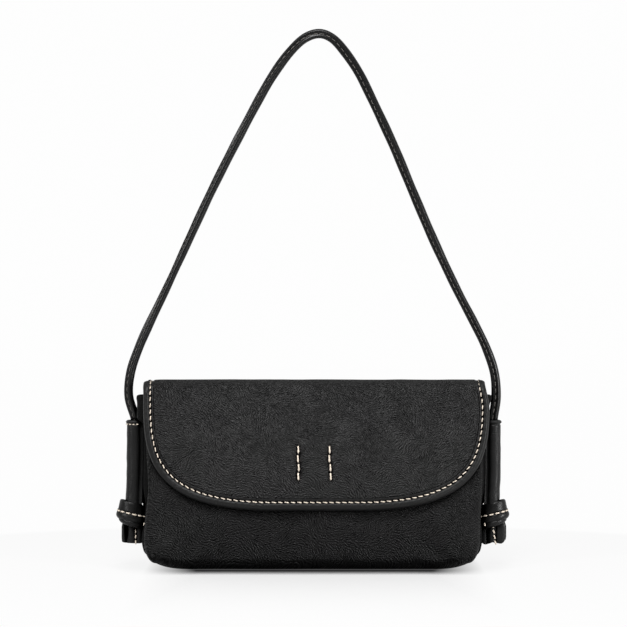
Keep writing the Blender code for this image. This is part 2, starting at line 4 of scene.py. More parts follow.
import bpy
import numpy as np
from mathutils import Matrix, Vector


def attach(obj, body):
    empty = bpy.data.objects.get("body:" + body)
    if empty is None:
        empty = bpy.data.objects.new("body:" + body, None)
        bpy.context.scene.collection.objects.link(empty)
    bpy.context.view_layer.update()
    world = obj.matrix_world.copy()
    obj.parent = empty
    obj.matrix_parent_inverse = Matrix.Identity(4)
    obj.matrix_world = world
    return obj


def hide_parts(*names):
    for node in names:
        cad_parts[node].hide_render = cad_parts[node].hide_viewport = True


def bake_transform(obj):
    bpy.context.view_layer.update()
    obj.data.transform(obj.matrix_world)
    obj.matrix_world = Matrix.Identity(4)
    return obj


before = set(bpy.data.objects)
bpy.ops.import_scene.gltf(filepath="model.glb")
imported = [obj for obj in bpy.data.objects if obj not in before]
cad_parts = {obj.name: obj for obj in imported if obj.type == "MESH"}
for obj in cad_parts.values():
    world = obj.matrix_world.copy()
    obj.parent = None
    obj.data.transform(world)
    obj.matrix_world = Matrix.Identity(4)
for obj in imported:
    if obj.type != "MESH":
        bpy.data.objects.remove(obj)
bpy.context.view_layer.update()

# Sizes of the bag, as in its source, in metres
GAP = 0.0003
LEATHER = 0.0018
LINING = 0.0008
FACING = 0.0012
BOARD = 0.0015
BODY_WIDTH = 0.257
BODY_TOP = 0.137
BASE_DEPTH = 0.066
MOUTH_DEPTH = 0.050
BASE_ROLL = 0.009
CORNER_RISE = 0.022
CORNER_INSET = 0.009
END_LIFT = 0.0048
LIFT_FADE = 0.040
BODY_CROWN = 0.006
WALL_TAPER = 1.4
LIFT_POWER = 4
FLAT_BASE_SHARE = 0.62
GUSSET_TOP = 0.1325
GUSSET_BULGE = 0.0037
GUSSET_FLARE = 0.0045
GUSSET_FLARE_HEIGHT = 0.019
GUSSET_TUCK = 0.006
WASHER = 0.0006
LINING_DEPTH = LEATHER + WASHER + 2 * GAP
LINING_TOP = 0.133
FACING_HEIGHT = 0.018
POCKET_WIDTH = 0.120
POCKET_LOW = 0.045
POCKET_HIGH = 0.108
FLAP_WIDTH = 0.2646
FLAP_TOP = 0.1447
FLAP_LOW = 0.046
FLAP_ROUND_TOP = 0.140
FLAP_ROUND_POWER = 3.5
FLAP_FLAT_SHARE = 0.3
FLAP_BEND = 0.007
FLAP_CLEARANCE = 0.0012
HINGE_HEIGHT = 0.1385
BAND_LOW = 0.108
TRIM_SIDE = 0.008
TRIM_BOTTOM = 0.010
SNAP_HEIGHT = 0.082
SNAP_HALF = 0.0016
PATCH = 0.0010
PATCH_SIZE = 0.034
SLEEVE_LOW = 0.051
SLEEVE_TOP = 0.112
RIM_TOP = 0.1129
SLEEVE_HALF_WIDTH = 0.0075
SLEEVE_HEIGHT = 0.012
SLEEVE_WALL = 0.0016
STRAP_WIDTH = 0.0074
STRAP_DEPTH = 0.0066
STRAP_TOP = 0.4134
STRAP_HALF_SPAN = 0.1402
STRAP_LEAN = 0.0035
# Arch of the strap: share of its height, share of its half span, share of its lean
ARCH_SHARES = (
    (0.065, 1.017, -0.45), (0.127, 1.007, -0.45), (0.189, 0.963, -0.45), (0.251, 0.902, -0.55),
    (0.343, 0.803, -0.7), (0.467, 0.679, -0.75), (0.591, 0.560, -0.55), (0.714, 0.438, -0.1),
    (0.838, 0.305, 0.25), (0.900, 0.232, 0.5), (0.951, 0.155, 0.65), (0.987, 0.079, 0.85),
)
FLAP_THICKNESS = LINING + GAP + LEATHER
FLAP_UNDER = FLAP_TOP - FLAP_THICKNESS
BEND_HEIGHT = FLAP_UNDER - FLAP_BEND
BACK_BEND = FLAP_UNDER - HINGE_HEIGHT
SNAP_STACK = 2 * SNAP_HALF + PATCH + 5 * GAP

# Leather edges, stitches and softness that the render adds
EDGE_CURL = 0.0016
CURL_WIDTH = 0.0030
LOW_ROUND = 0.032
SEAM_SHARE = 0.335
TRIM_PITCH = 0.00485
TRIM_START = 0.0006
BAR_X = 0.0122
FLAP_SHIFT = 0.00145
BAR_TOP = 0.0963
BAR_PITCH = 0.0067
SLEEVE_SEAM = RIM_TOP - 0.0027
STRAP_PITCH = 0.0052
KNOT_STITCHES = 13
TAIL_STITCHES = 5
TAIL_PITCH = 0.0043
TAIL_TOP = 0.0372
LINING_MARGIN = 0.0012
FLAP_FIT = 0.00005
OUTLINE_STEP = 0.00055
STRAP_STEP = 0.0011

# Stitches: radius of the thread and how far it rises
TRIM_STITCH = (0.00037, 0.00040)
BAR_STITCH = (0.00060, 0.00050)
SLEEVE_STITCH = (0.00045, 0.0007)
KNOT_STITCH = (0.00058, 0.0006)
STRAP_STITCH = (0.00038, 0.00022)

# Names of the bag's sides, and where they face
ENDS = (("left", -1), ("right", 1))
WALLS = (("front", -1), ("back", 1))

# Camera, from the photograph
CAMERA_DISTANCE = 1.7
CAMERA_HEIGHT = 0.196
CAMERA_SIDE = -0.00078
FOCAL_PIXELS = 2189
FRAME_PIXELS = 627


def hashed(i, j, k, seed):
    """A repeatable number from -1 to 1 for each lattice place."""
    mixed = (i * 374761393 + j * 668265263 + k * 1103515245 + seed * 1274126177) & 0xFFFFFFFF
    mixed = ((mixed ^ (mixed >> 13)) * 1274126177) & 0xFFFFFFFF
    mixed = mixed ^ (mixed >> 16)
    return (mixed & 0xFFFF) / 32767.5 - 1


def noise(points, size, seed):
    """Smooth noise from -1 to 1 at points, with features of one size."""
    scaled = np.asarray(points, float) / size
    low = np.floor(scaled).astype(np.int64)
    part = smooth(scaled - low)
    total = 0
    for corner in np.ndindex(2, 2, 2):
        weight = 1
        for axis, step in enumerate(corner):
            share = part[..., axis]
            weight = weight * (share if step else 1 - share)
        total = total + weight * hashed(*np.moveaxis(low + corner, -1, 0), seed)
    return total


def stacked(x, y, z):
    return np.stack(np.broadcast_arrays(x, y, z), -1).astype(float)


def unit(vectors):
    size = np.linalg.norm(vectors, axis=-1, keepdims=True)
    return vectors / np.maximum(size, 1e-12)


def smooth(share):
    """A soft step from 0 to 1."""
    share = np.clip(share, 0, 1)
    return share * share * (3 - 2 * share)


def bell(share):
    """A soft bump, 1 in its middle and near 0 at twice its width."""
    return np.exp(-share ** 2)


def spread(count):
    """A row of places from -1 to 1."""
    return np.linspace(-1, 1, count)[None, :]


def circle(count):
    return np.linspace(0, 2 * np.pi, count, endpoint=False)


def rounded(value, power):
    """A power of a value's size, with the value's sign."""
    return np.sign(value) * np.abs(value) ** power


# Shapes: a shape is a pair, its points and its faces


def merged(shapes):
    """One shape from several."""
    points, faces, count = [], [], 0
    for some_points, some_faces in shapes:
        points.append(some_points)
        faces += [[corner + count for corner in face] for face in some_faces]
        count += len(some_points)
    return np.concatenate(points), faces


def thick(outer, inner, bulge=0.4, steps=3):
    """Close two matching grids of points into one sheet with a rounded rim."""
    rows, columns = outer.shape[:2]
    count = rows * columns
    index = np.arange(count).reshape(rows, columns)
    quads = np.stack([index[:-1, :-1], index[:-1, 1:], index[1:, 1:], index[1:, :-1]], -1).reshape(-1, 4)
    rim = np.concatenate([index[0], index[1:, -1], index[-1, -2::-1], index[-2:0:-1, 0]])
    row, column = np.clip(rim // columns, 1, rows - 2), np.clip(rim % columns, 1, columns - 2)
    outer, inner = outer.reshape(-1, 3), inner.reshape(-1, 3)
    away = unit(outer[rim] - outer[row * columns + column])
    middle, half = (outer[rim] + inner[rim]) / 2, (outer[rim] - inner[rim]) / 2
    reach = np.linalg.norm(half, axis=-1, keepdims=True) * bulge
    angles = [math.pi * k / (steps + 1) for k in range(1, steps + 1)]
    rounds = [middle + half * math.cos(angle) + away * reach * math.sin(angle) for angle in angles]
    loops = 2 * count + np.arange(steps * len(rim)).reshape(steps, -1)
    loops = np.concatenate([rim[None], loops, rim[None] + count])
    onward = np.roll(loops, -1, axis=1)
    sides = np.stack([loops[:-1], loops[1:], onward[1:], onward[:-1]], -1).reshape(-1, 4)
    return np.concatenate([outer, inner, *rounds]), np.concatenate([quads, quads[:, ::-1] + count, sides]).tolist()


def tube(rings, capped=True):
    """Join closed rings of points into a tube with fans of faces at its ends."""
    rings = np.asarray(rings, float)
    count, sides = rings.shape[:2]
    points = rings.reshape(-1, 3)
    index = np.arange(count * sides).reshape(count, sides)
    right = np.roll(index, -1, axis=1)
    faces = np.stack([index[:-1], right[:-1], right[1:], index[1:]], -1).reshape(-1, 4).tolist()
    if capped:
        points = np.concatenate([points, rings[[0, -1]].mean(1)])
        first, last = count * sides, count * sides + 1
        for here, following in zip(index.T.tolist(), right.T.tolist()):
            faces += [(first, following[0], here[0]), (last, here[-1], following[-1])]
    return points, faces


def volume(points, faces):
    """Six times the volume inside a shape, above 0 where its faces point out."""
    total = 0
    for corners, triangles in ((4, ((0, 1, 2), (0, 2, 3))), (3, ((0, 1, 2),))):
        group = np.array([f for f in faces if len(f) == corners], int).reshape(-1, corners)
        for triangle in triangles:
            a, b, c = (points[group[:, corner]] for corner in triangle)
            total += np.einsum("ij,ij->i", a, np.cross(b, c)).sum()
    return total


def piece(name, shape, material, replaces=()):
    """Make a smooth mesh object of a shape, with its faces pointing out."""
    points, faces = shape
    if volume(points, faces) < 0:
        faces = [face[::-1] for face in faces]
    mesh = bpy.data.meshes.new(name)
    mesh.from_pydata(points.tolist(), [], faces)
    mesh.materials.append(material)
    mesh.shade_smooth()
    made = bpy.data.objects.new(name, mesh)
    bpy.context.scene.collection.objects.link(made)
    if replaces:
        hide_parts(*replaces)
    return made


# Lines of points


def run_along(points):
    """How far along a line each of its points is."""
    return np.concatenate([[0], np.cumsum(np.linalg.norm(np.diff(points, axis=0), axis=1))])


def taken_at(places, run, points):
    """What the points' columns come to at places along their line."""
    return np.stack([np.interp(places, run, column) for column in points.T], -1)


def resampled(points, pitch):
    """Points at a steady pitch along a line of points."""
    run = run_along(points)
    return taken_at(np.arange(0, run[-1] + 1e-9, pitch), run, points)


def curve(knots, steps, closed=False):
    """A smooth line through the knots, closed or with straight ends."""
    knots = [np.asarray(knot, float) for knot in knots]
    if closed:
        padded = knots[-1:] + knots + knots[:2]
    else:
        padded = [knots[0] * 2 - knots[1]] + knots + [knots[-1] * 2 - knots[-2]]
    points = []
    for a, b, c, d in zip(padded, padded[1:], padded[2:], padded[3:]):
        for t in np.arange(steps) / steps:
            bend = (a * 2 - b * 5 + c * 4 - d) * t * t
            points.append((b * 2 + (c - a) * t + bend + (b * 3 - a - c * 3 + d) * t ** 3) / 2)
    return np.array(points if closed else points + knots[-1:])


# Body surfaces, by the same formulas as the solids


def half_depth(height):
    share = np.clip((height - BASE_ROLL) / (BODY_TOP - BASE_ROLL), 0, 1)
    return (BASE_DEPTH + (MOUTH_DEPTH - BASE_DEPTH) * share ** WALL_TAPER) / 2


def half_width(height):
    fall = np.maximum(0, 1 - height / CORNER_RISE)
    return BODY_WIDTH / 2 - CORNER_INSET * (1 - np.sqrt(np.maximum(0, 1 - fall * fall)))


def crown(x, height):
    across = np.minimum(1, np.abs(x) / half_width(height))
    up = np.clip(height / BODY_TOP, 0, 1)
    return BODY_CROWN * (1 - across * across) * np.sin(np.pi * up)


def end_lift(x, height):
    flat = FLAT_BASE_SHARE * BODY_WIDTH / 2
    end = BODY_WIDTH / 2 - CORNER_INSET
    share = np.clip((np.abs(x) - flat) / (end - flat), 0, 1)
    return END_LIFT * share ** LIFT_POWER * np.maximum(0, 1 - height / LIFT_FADE)


def lean(height):
    """Sideways shift of the soft body, which stands a little askew: its base to the left."""
    return -0.0017 * (1 - smooth((height - 0.015) / 0.075)) - 0.0002


def waist(x, height):
    """Sideways draw of the left seam at mid height, where the sleeve pulls on it."""
    return 0.0022 * bell((height - 0.062) / 0.022) * np.clip(-x * 2 / BODY_WIDTH, 0, 1) ** 8


def wall_rows(top, wall_steps, roll_steps):
    """Level and roll angle of each row down a wall and round the roll under it."""
    heights = np.linspace(top, BASE_ROLL, wall_steps)
    rolls = np.linspace(0, np.pi / 2, roll_steps + 1)[1:]
    level = np.concatenate([heights, BASE_ROLL * (1 - np.sin(rolls))])
    return level[:, None], np.concatenate([0 * heights, rolls])[:, None]


def wall_point(x, level, roll, side, depth, swell=0):
    """Points at a depth inside the outer surface of a wall and its roll."""
    out = crown(x, level) * np.cos(roll) + swell
    on_wall = half_depth(level) + out - depth
    on_roll = BASE_DEPTH / 2 - BASE_ROLL + (BASE_ROLL - depth) * np.cos(roll) + out
    y = np.where(roll > 0, on_roll, on_wall)
    z = np.where(roll > 0, BASE_ROLL - (BASE_ROLL - depth) * np.sin(roll), level) + end_lift(x, level)
    return stacked(x + lean(z) + waist(x, z), side * y, z)


def ridge(x, z, start, end, width):
    """A soft fold along a line, from 0 to 1, that fades out at its ends."""
    over, up = end[0] - start[0], end[1] - start[1]
    length = math.hypot(over, up)
    along = ((x - start[0]) * over + (z - start[1]) * up) / length ** 2
    across = ((x - start[0]) * up - (z - start[1]) * over) / length
    return bell(across / width) * smooth(along * 4) * smooth((1 - along) * 2)


# Places of the soft folds in the front: start, end, width, height
FRONT_FOLDS = (
    ((-0.124, 0.004), (-0.072, 0.052), 0.0095, 0.0024),
    ((-0.112, 0.002), (-0.062, 0.022), 0.0050, 0.0007),
    ((0.124, 0.002), (0.092, 0.066), 0.0150, 0.0036),
    ((0.118, 0.004), (0.078, 0.034), 0.0050, 0.0008),
    ((0.110, 0.001), (0.060, 0.020), 0.0045, 0.0007),
    ((0.126, 0.020), (0.112, 0.060), 0.0045, 0.0006),
    ((-0.126, 0.020), (-0.112, 0.058), 0.0045, 0.0006),
)


def sag(x, level):
    """How far a wall draws in towards the base, away from the stiffer ends."""
    middle = 1 - smooth((np.abs(x) - 0.085) / 0.036)
    return 0.0026 * smooth((0.050 - level) / 0.044) * middle


def softness(x, level, side):
    """Uneven swell of a wall: broad waves, and folds that rise from the low corners."""
    where = stacked(x, 0.3 * side, level)
    swell = 0.00035 * noise(where, 0.034, 3) + 0.00015 * noise(where, 0.015, 5) - sag(x, level)
    for start, end, width, height in FRONT_FOLDS:
        swell = swell + height * ridge(x * -side, level, start, end, width)
    return swell


def curl(x, full, level, side):
    """How far a wall's side edge turns in towards the seam, in a wide round at its low corners."""
    share = np.clip((np.abs(x) - full + CURL_WIDTH) / CURL_WIDTH, 0, 1)
    wide = np.clip((np.abs(x) - full + LOW_ROUND) / LOW_ROUND, 0, 1)
    deep = np.where(x * -side > 0, 0.0066, 0.0034) * smooth((0.070 - level) / 0.034)
    return EDGE_CURL * share ** 2.2 + deep * wide ** 2.8


def base_point(x, y, depth):
    return stacked(x + lean(0), y, depth + end_lift(x, 0))


def gusset_bulge(height):
    rise = (height - GUSSET_TOP + GUSSET_FLARE_HEIGHT) / GUSSET_FLARE_HEIGHT
    return GUSSET_BULGE + GUSSET_FLARE * smooth(rise)


def gusset_x(y, height):
    reach = half_depth(height) - LEATHER - GAP
    return half_width(height) + gusset_bulge(height) * (1 - (y / reach) ** 2)


def gusset_fold(height):
    """Extra stand of the left gusset's folded top, whose front edge drops straight to the sleeve."""
    full = GUSSET_BULGE + GUSSET_FLARE * smooth((height - 0.1105) / 0.0045)
    return full - gusset_bulge(height)


# Flap surface


BACK_MIDDLE = float(half_depth(HINGE_HEIGHT)) + GAP + LEATHER - FLAP_THICKNESS - BACK_BEND
FRONT_MIDDLE = FLAP_BEND - float(half_depth(BEND_HEIGHT)) - FLAP_CLEARANCE
TURN = BACK_BEND * math.pi / 2
TOP_RUN = BACK_MIDDLE - FRONT_MIDDLE
BEND_RUN = FLAP_BEND * math.pi / 2
FRONT_START = TURN + TOP_RUN + BEND_RUN


def path_at(height):
    """The distance from the hinge at which the flap's front comes down to a height."""
    return FRONT_START + BEND_HEIGHT - height


def height_at(path):
    return BEND_HEIGHT - (path - FRONT_START)


def snap_bump(x, height):
    """Share of the snap's thickness by which the flap stands off, 1 at the snap."""
    run = np.where(height > SNAP_HEIGHT, BEND_HEIGHT - SNAP_HEIGHT, SNAP_HEIGHT - FLAP_LOW)
    up = np.minimum(1, np.abs(height - SNAP_HEIGHT) / run)
    across = np.minimum(1, np.abs(x) / (FLAP_WIDTH / 2))
    return np.cos(np.pi / 2 * up) * (1 - across * across) ** 2


def flap_point(x, path, offset):
    """Points on the flap at a distance along it from the hinge; behind the hinge it is the back band."""
    x, path, offset = np.broadcast_arrays(x, path, offset)
    band, height = HINGE_HEIGHT + path, height_at(path)
    back, back_angle = BACK_BEND + offset, np.clip(path / BACK_BEND, 0, np.pi / 2)
    front, front_angle = FLAP_BEND + offset, np.clip((path - TURN - TOP_RUN) / FLAP_BEND, 0, np.pi / 2)
    stand_off = FLAP_CLEARANCE + (SNAP_STACK - FLAP_CLEARANCE) * snap_bump(x, height)
    away = smooth((0.112 - height) / 0.044) * (1 - smooth((np.abs(x + 0.004) - 0.078) / 0.034))
    stand_off = stand_off + 0.0028 * np.where(path > FRONT_START, away, 0)
    zones = [path < 0, path < TURN, path < TURN + TOP_RUN, path < FRONT_START]
    y = np.select(zones, [
        half_depth(band) + crown(x, band) + GAP + LEATHER - FLAP_THICKNESS + offset,
        BACK_MIDDLE + back * np.cos(back_angle),
        BACK_MIDDLE - (path - TURN),
        FRONT_MIDDLE - front * np.sin(front_angle),
    ], -(half_depth(height) + crown(x, height) + stand_off + offset))
    z = np.select(zones, [
        band,
        HINGE_HEIGHT + back * np.sin(back_angle),
        FLAP_UNDER + offset,
        BEND_HEIGHT + front * np.cos(front_angle),
    ], height)
    on_crown = np.clip((z - HINGE_HEIGHT) / (FLAP_UNDER - HINGE_HEIGHT), 0, 1)
    z = z + (0.0006 - 0.0015 * smooth((y + 0.022) / 0.044)) * on_crown
    from_edge = np.abs(x) - FLAP_WIDTH / 2
    edge = np.clip((from_edge + 0.012) / 0.012, 0, 1)
    seam = smooth((from_edge + TRIM_SIDE + 0.0004) / 0.0014)
    rise = smooth((z - 0.120) / 0.024)
    draw = np.where(x > 0, 0.0034, 0.0) * np.clip(np.abs(x) * 2 / FLAP_WIDTH, 0, 1) ** 6
    over = smooth(path / 0.03)
    z = z - (0.0005 * edge ** 2 + 0.0006 * seam) * smooth((z - 0.137) / 0.006)
    return stacked(x + FLAP_SHIFT * over - np.sign(x) * draw * rise ** 1.5 * over, y, z)


def flap_outline(straight_steps, round_steps, bottom_steps, back_to):
    """The flap's flat outline as (x, path): down its left side from behind the hinge, and back up its right."""
    drop = FLAP_ROUND_TOP - FLAP_LOW
    straight = np.linspace(back_to, FRONT_START, straight_steps)
    first = (FLAP_ROUND_TOP - BEND_HEIGHT) / drop
    last = (1 - FLAP_FLAT_SHARE ** FLAP_ROUND_POWER) ** (1 / FLAP_ROUND_POWER)
    share = np.arange(1, round_steps + 1) / round_steps
    fall = first + (last - first) * np.sin(np.pi / 2 * share)
    width = FLAP_WIDTH / 2 * (1 - fall ** FLAP_ROUND_POWER) ** (1 / FLAP_ROUND_POWER)
    x = np.concatenate([0 * straight - FLAP_WIDTH / 2, -width])
    path = np.concatenate([straight, path_at(FLAP_ROUND_TOP - drop * fall)])
    bottom = np.linspace(x[-1], -x[-1], bottom_steps + 1)[1:-1]
    return np.concatenate([x, bottom, -x[::-1]]), np.concatenate([path, 0 * bottom + path[-1], path[::-1]])


def inward(x, path):
    """X and path parts of the unit normals that point into the flap along its flat outline."""
    along = unit(np.stack([np.gradient(x), np.gradient(path)], -1))
    return np.stack([along[:, 1], -along[:, 0]])


def trim_width(normal):
    return TRIM_SIDE + (TRIM_BOTTOM - TRIM_SIDE) * np.abs(normal[1])


def flap_waves(x, path):
    """Slight unevenness of the flap's leather, none at its back."""
    where = stacked(x, 0.7, path)
    wave = 0.00030 * noise(where, 0.030, 11) + 0.00016 * noise(where, 0.013, 13)
    return wave * smooth((path - TURN) / 0.02)


def bar_places():
    """Middle of each of the eight upright stitches that hold the patch, as (x, height)."""
    places = []
    for side, slips in ((-1, (-0.0001, -0.0004, 0.0002, -0.0001)), (1, (-0.0008, -0.0010, -0.0002, 0.0))):
        for k, slip in enumerate(slips):
            places.append((side * BAR_X - FLAP_SHIFT + slip, BAR_TOP - BAR_PITCH * (k + 0.5)))
    return places


def bar_dents(x, path):
    """Dents at the ends of the upright stitches, and the soft dome between the two rows."""
    height = height_at(path)
    dent = 0.0
    for centre, middle in bar_places():
        for end in (-1, 1):
            away = (x - centre) ** 2 + (height - middle - end * BAR_PITCH * 0.43) ** 2
            dent = dent - 0.0007 * np.exp(-away / 0.0011 ** 2) - 0.0003 * np.exp(-away / 0.0032 ** 2)
        beside = smooth(1.5 - np.abs(height - middle) / (0.6 * BAR_PITCH))
        dent = dent - 0.00055 * (bell((x - centre) / 0.0016) * beside)
    dome = np.maximum(0, 1 - (x / 0.0115) ** 2) * smooth(1.6 - np.abs(height - SNAP_HEIGHT) / 0.012)
    return dent + 0.0009 * dome


# Stitches


def stitch(start, end, out, radius, rise, twist=5.0, sides=10, steps=13):
    """One stitch of two-ply thread, sunk in its holes at both ends."""
    start, end, out = (np.asarray(v, float) for v in (start, end, out))
    along = unit(end - start)
    out = unit(out - along * (out @ along))
    across = np.cross(along, out)
    angles = np.arange(sides) * math.tau / sides
    rings = []
    for share in np.arange(steps) / (steps - 1):
        bow = math.sin(math.pi * share)
        centre = start + (end - start) * share + out * (rise * bow ** 0.6 - radius * 0.9 * (1 - bow) ** 2)
        size = radius * (0.5 + 0.5 * min(1, bow * 1.7) ** 0.7)
        ply = 1 + 0.17 * np.cos(2 * (angles - twist * share))
        wide, high = np.cos(angles) * size * ply, np.sin(angles) * size * ply * 0.85
        rings.append(centre + np.outer(wide, across) + np.outer(high, out))
    return tube(rings)


# Materials


def fill(tree, node, inputs):
    """Set a node's inputs or link them, each by its number or name."""
    for name, value in inputs.items():
        if isinstance(name, int):
            target = node.inputs[name]
        else:
            target = next(s for s in node.inputs if s.name == name and s.enabled)
        if isinstance(value, bpy.types.NodeSocket):
            tree.links.new(value, target)
        else:
            target.default_value = value


def wire(tree, kind, inputs=None, output=None, **properties):
    """Add a node and give one of its outputs: the named one, else the first in use."""
    node = tree.nodes.new("ShaderNode" + kind)
    for name, value in properties.items():
        setattr(node, name, value)
    fill(tree, node, inputs or {})
    return node.outputs[output] if output else next(s for s in node.outputs if s.enabled)


def nodes_of(name):
    made = bpy.data.materials.new(name)
    made.use_nodes = True
    return made, made.node_tree, made.node_tree.nodes["Principled BSDF"]


def maths(tree, operation, *values):
    return wire(tree, "Math", dict(enumerate(values)), operation=operation)


def product(tree, *values):
    total = values[0]
    for value in values[1:]:
        total = maths(tree, "MULTIPLY", total, value)
    return total


def scaled_colour(tree, colour, *shares):
    return vector(tree, "SCALE", colour, Scale=product(tree, *shares))


def vector(tree, operation, *values, output=None, **scale):
    inputs = {**dict(enumerate(values)), **scale}
    return wire(tree, "VectorMath", inputs, output, operation=operation)


def ranged(tree, value, low, high, to_low, to_high):
    limits = {"From Min": low, "From Max": high, "To Min": to_low, "To Max": to_high}
    return wire(tree, "MapRange", {"Value": value, **limits})


def varied(tree, texture, low, high):
    """From low to high over the span of a noise that is mostly used."""
    return ranged(tree, texture, 0.3, 0.7, low, high)


def axes_of(tree, place):
    return wire(tree, "SeparateXYZ", {0: place}).node.outputs


def bumped(tree, height, strength, distance):
    return wire(tree, "Bump", {"Height": height, "Strength": strength, "Distance": distance})


def broad_noise(tree, place, size, detail=1.0, output="Fac"):
    return wire(tree, "TexNoise", {"Vector": place, "Scale": 1 / size, "Detail": detail}, output)


def millimetres(tree, warp, warp_size, seed):
    """The object's own coordinates in millimetres, pushed about by a broad noise."""
    scaled = vector(tree, "SCALE", wire(tree, "TexCoord", output="Object"), Scale=1000)
    shifted = vector(tree, "ADD", scaled, (seed * 37.0, seed * 11.0, seed * 53.0))
    centred = vector(tree, "SUBTRACT", broad_noise(tree, shifted, warp_size, output="Color"), (0.5, 0.5, 0.5))
    return vector(tree, "MULTIPLY_ADD", centred, (warp, warp, warp), shifted)


def wrinkles(tree, place, length, periods, swirl, spin):
    """Fine ridges like a fingerprint's, from 0 to 1: their length, how many lie side by side, a swirl's size."""
    axes = (1.0, 0.7, 0.0), (0.0, 0.7, 1.0)
    flat = [vector(tree, "DOT_PRODUCT", place, axis, output="Value") for axis in axes]
    turn = product(tree, broad_noise(tree, place, swirl, 0.0), spin)
    inputs = {
        "Vector": wire(tree, "CombineXYZ", dict(enumerate(flat))),
        "Scale": 1 / (length * periods),
        "Frequency": periods,
        "Anisotropy": 0.76,
        "Orientation": maths(tree, "ADD", turn, 1.25 - spin / 2),
    }
    return wire(tree, "TexGabor", inputs, "Value", gabor_type="2D")


def painted_shade_factor(tree, reach):
    """Painted shade: a factor near 0 in creases and under edges, where no light gets in, else 1, that darkens
    colour and gloss; the floor shuts in nothing.
    """
    inside = wire(tree, "AmbientOcclusion", {"Distance": reach}, "AO", samples=8)
    height = axes_of(tree, wire(tree, "NewGeometry", output="Position"))["Z"]
    by_floor = ranged(tree, height, 0.004, 0.016, 0.8, 0.0)
    return maths(tree, "MAXIMUM", ranged(tree, inside, 0.52, 0.94, 0.0, 1.0), by_floor)


def leather(name, rough, specular, grain, seed, reach=0.007):
    """Black milled leather: swirls of fine wrinkles, with painted shade, darker colour and weaker gloss, in its
    creases and where no light gets in.
    """
    made, tree, shader = nodes_of(name)
    place = millimetres(tree, 2.0, 14.0, seed)
    coarse = wrinkles(tree, place, 1.75, 1.6, 24.0, 5.5)
    fine = wrinkles(tree, place, 1.2, 1.5, 15.0, 6.0)
    wrinkle = wire(tree, "Mix", {"Factor": 0.42, "A": coarse, "B": fine}, data_type="FLOAT")
    strength = varied(tree, broad_noise(tree, place, 21.0), 0.75, 1.25)
    height = product(tree, wrinkle, grain, strength)
    # painted shade: base colour and gloss are darkened by the occlusion factor, as shadow under edges and in
    # creases
    clear = painted_shade_factor(tree, reach)
    swing = min(0.12, grain) if grain < 1 else 0.75
    tone = varied(tree, wrinkle, 0.92 - swing, 1.04 + swing)
    shine = varied(tree, wrinkle, 1 - swing, 1 + swing)
    fill(tree, shader, {
        "Base Color": scaled_colour(tree, BLACK, tone, clear),
        "Roughness": varied(tree, wrinkle, rough + 0.04, rough - 0.04),
        "Specular IOR Level": product(tree, shine, specular, clear),
        "Normal": bumped(tree, height, 1.0, 0.001),
    })
    return made


def thread_material(name, colour):
    """Waxed thread with fine fibres along it and a little dirt."""
    made, tree, shader = nodes_of(name)
    place = millimetres(tree, 0.2, 1.0, 2)
    fibres = broad_noise(tree, place, 0.16, 2.0)
    soil = varied(tree, broad_noise(tree, place, 2.6), 0.86, 1.04)
    tone = varied(tree, fibres, 0.86, 1.06)
    fill(tree, shader, {
        "Base Color": scaled_colour(tree, colour, tone, soil),
        "Roughness": 0.55,
        "Specular IOR Level": 0.4,
        "Sheen Weight": 0.1,
        "Normal": bumped(tree, fibres, 0.5, 0.0002),
    })
    return made


def cloth_material(name, colour, pitch):
    """Plain woven cloth: two crossing sets of yarns."""
    made, tree, shader = nodes_of(name)
    place = millimetres(tree, 0.3, 4.0, 4)
    waves = []
    for direction in ((1, 1, 0), (0, 0.4, 1)):
        along = vector(tree, "DOT_PRODUCT", place, direction, output="Value")
        waves.append(maths(tree, "SINE", product(tree, along, math.tau / pitch)))
    level = ranged(tree, product(tree, *waves), -1.0, 1.0, 0.0, 1.0)
    slub = varied(tree, broad_noise(tree, place, 1.6, 2.0), 0.85, 1.15)
    tone = ranged(tree, level, 0.0, 1.0, 0.7, 1.2)
    fill(tree, shader, {
        "Base Color": scaled_colour(tree, colour, tone, slub),
        "Roughness": 0.9,
        "Specular IOR Level": 0.25,
        "Sheen Weight": 0.15,
        "Normal": bumped(tree, level, 0.6, 0.0002),
    })
    return made


def board_material():
    """Grey fibre board, mottled by its fibres."""
    made, tree, shader = nodes_of("fibre_board")
    fibres = broad_noise(tree, millimetres(tree, 0.5, 3.0, 6), 0.7, 3.0)
    tone = varied(tree, fibres, 0.8, 1.15)
    fill(tree, shader, {"Base Color": scaled_colour(tree, (0.25, 0.22, 0.18), tone), "Roughness": 0.9})
    return made


def metal_material():
    """Brushed antique snap metal with worn marks."""
    made, tree, shader = nodes_of("snap_metal")
    marks = broad_noise(tree, millimetres(tree, 0.0, 1.0, 0), 0.25, 3.0)
    fill(tree, shader, {
        "Base Color": scaled_colour(tree, (0.56, 0.52, 0.45), varied(tree, marks, 0.85, 1.1)),
        "Roughness": varied(tree, marks, 0.24, 0.40),
        "Metallic": 1.0,
        "Normal": bumped(tree, marks, 0.2, 0.0001),
    })
    return made


BLACK = (0.0045, 0.0045, 0.0045)
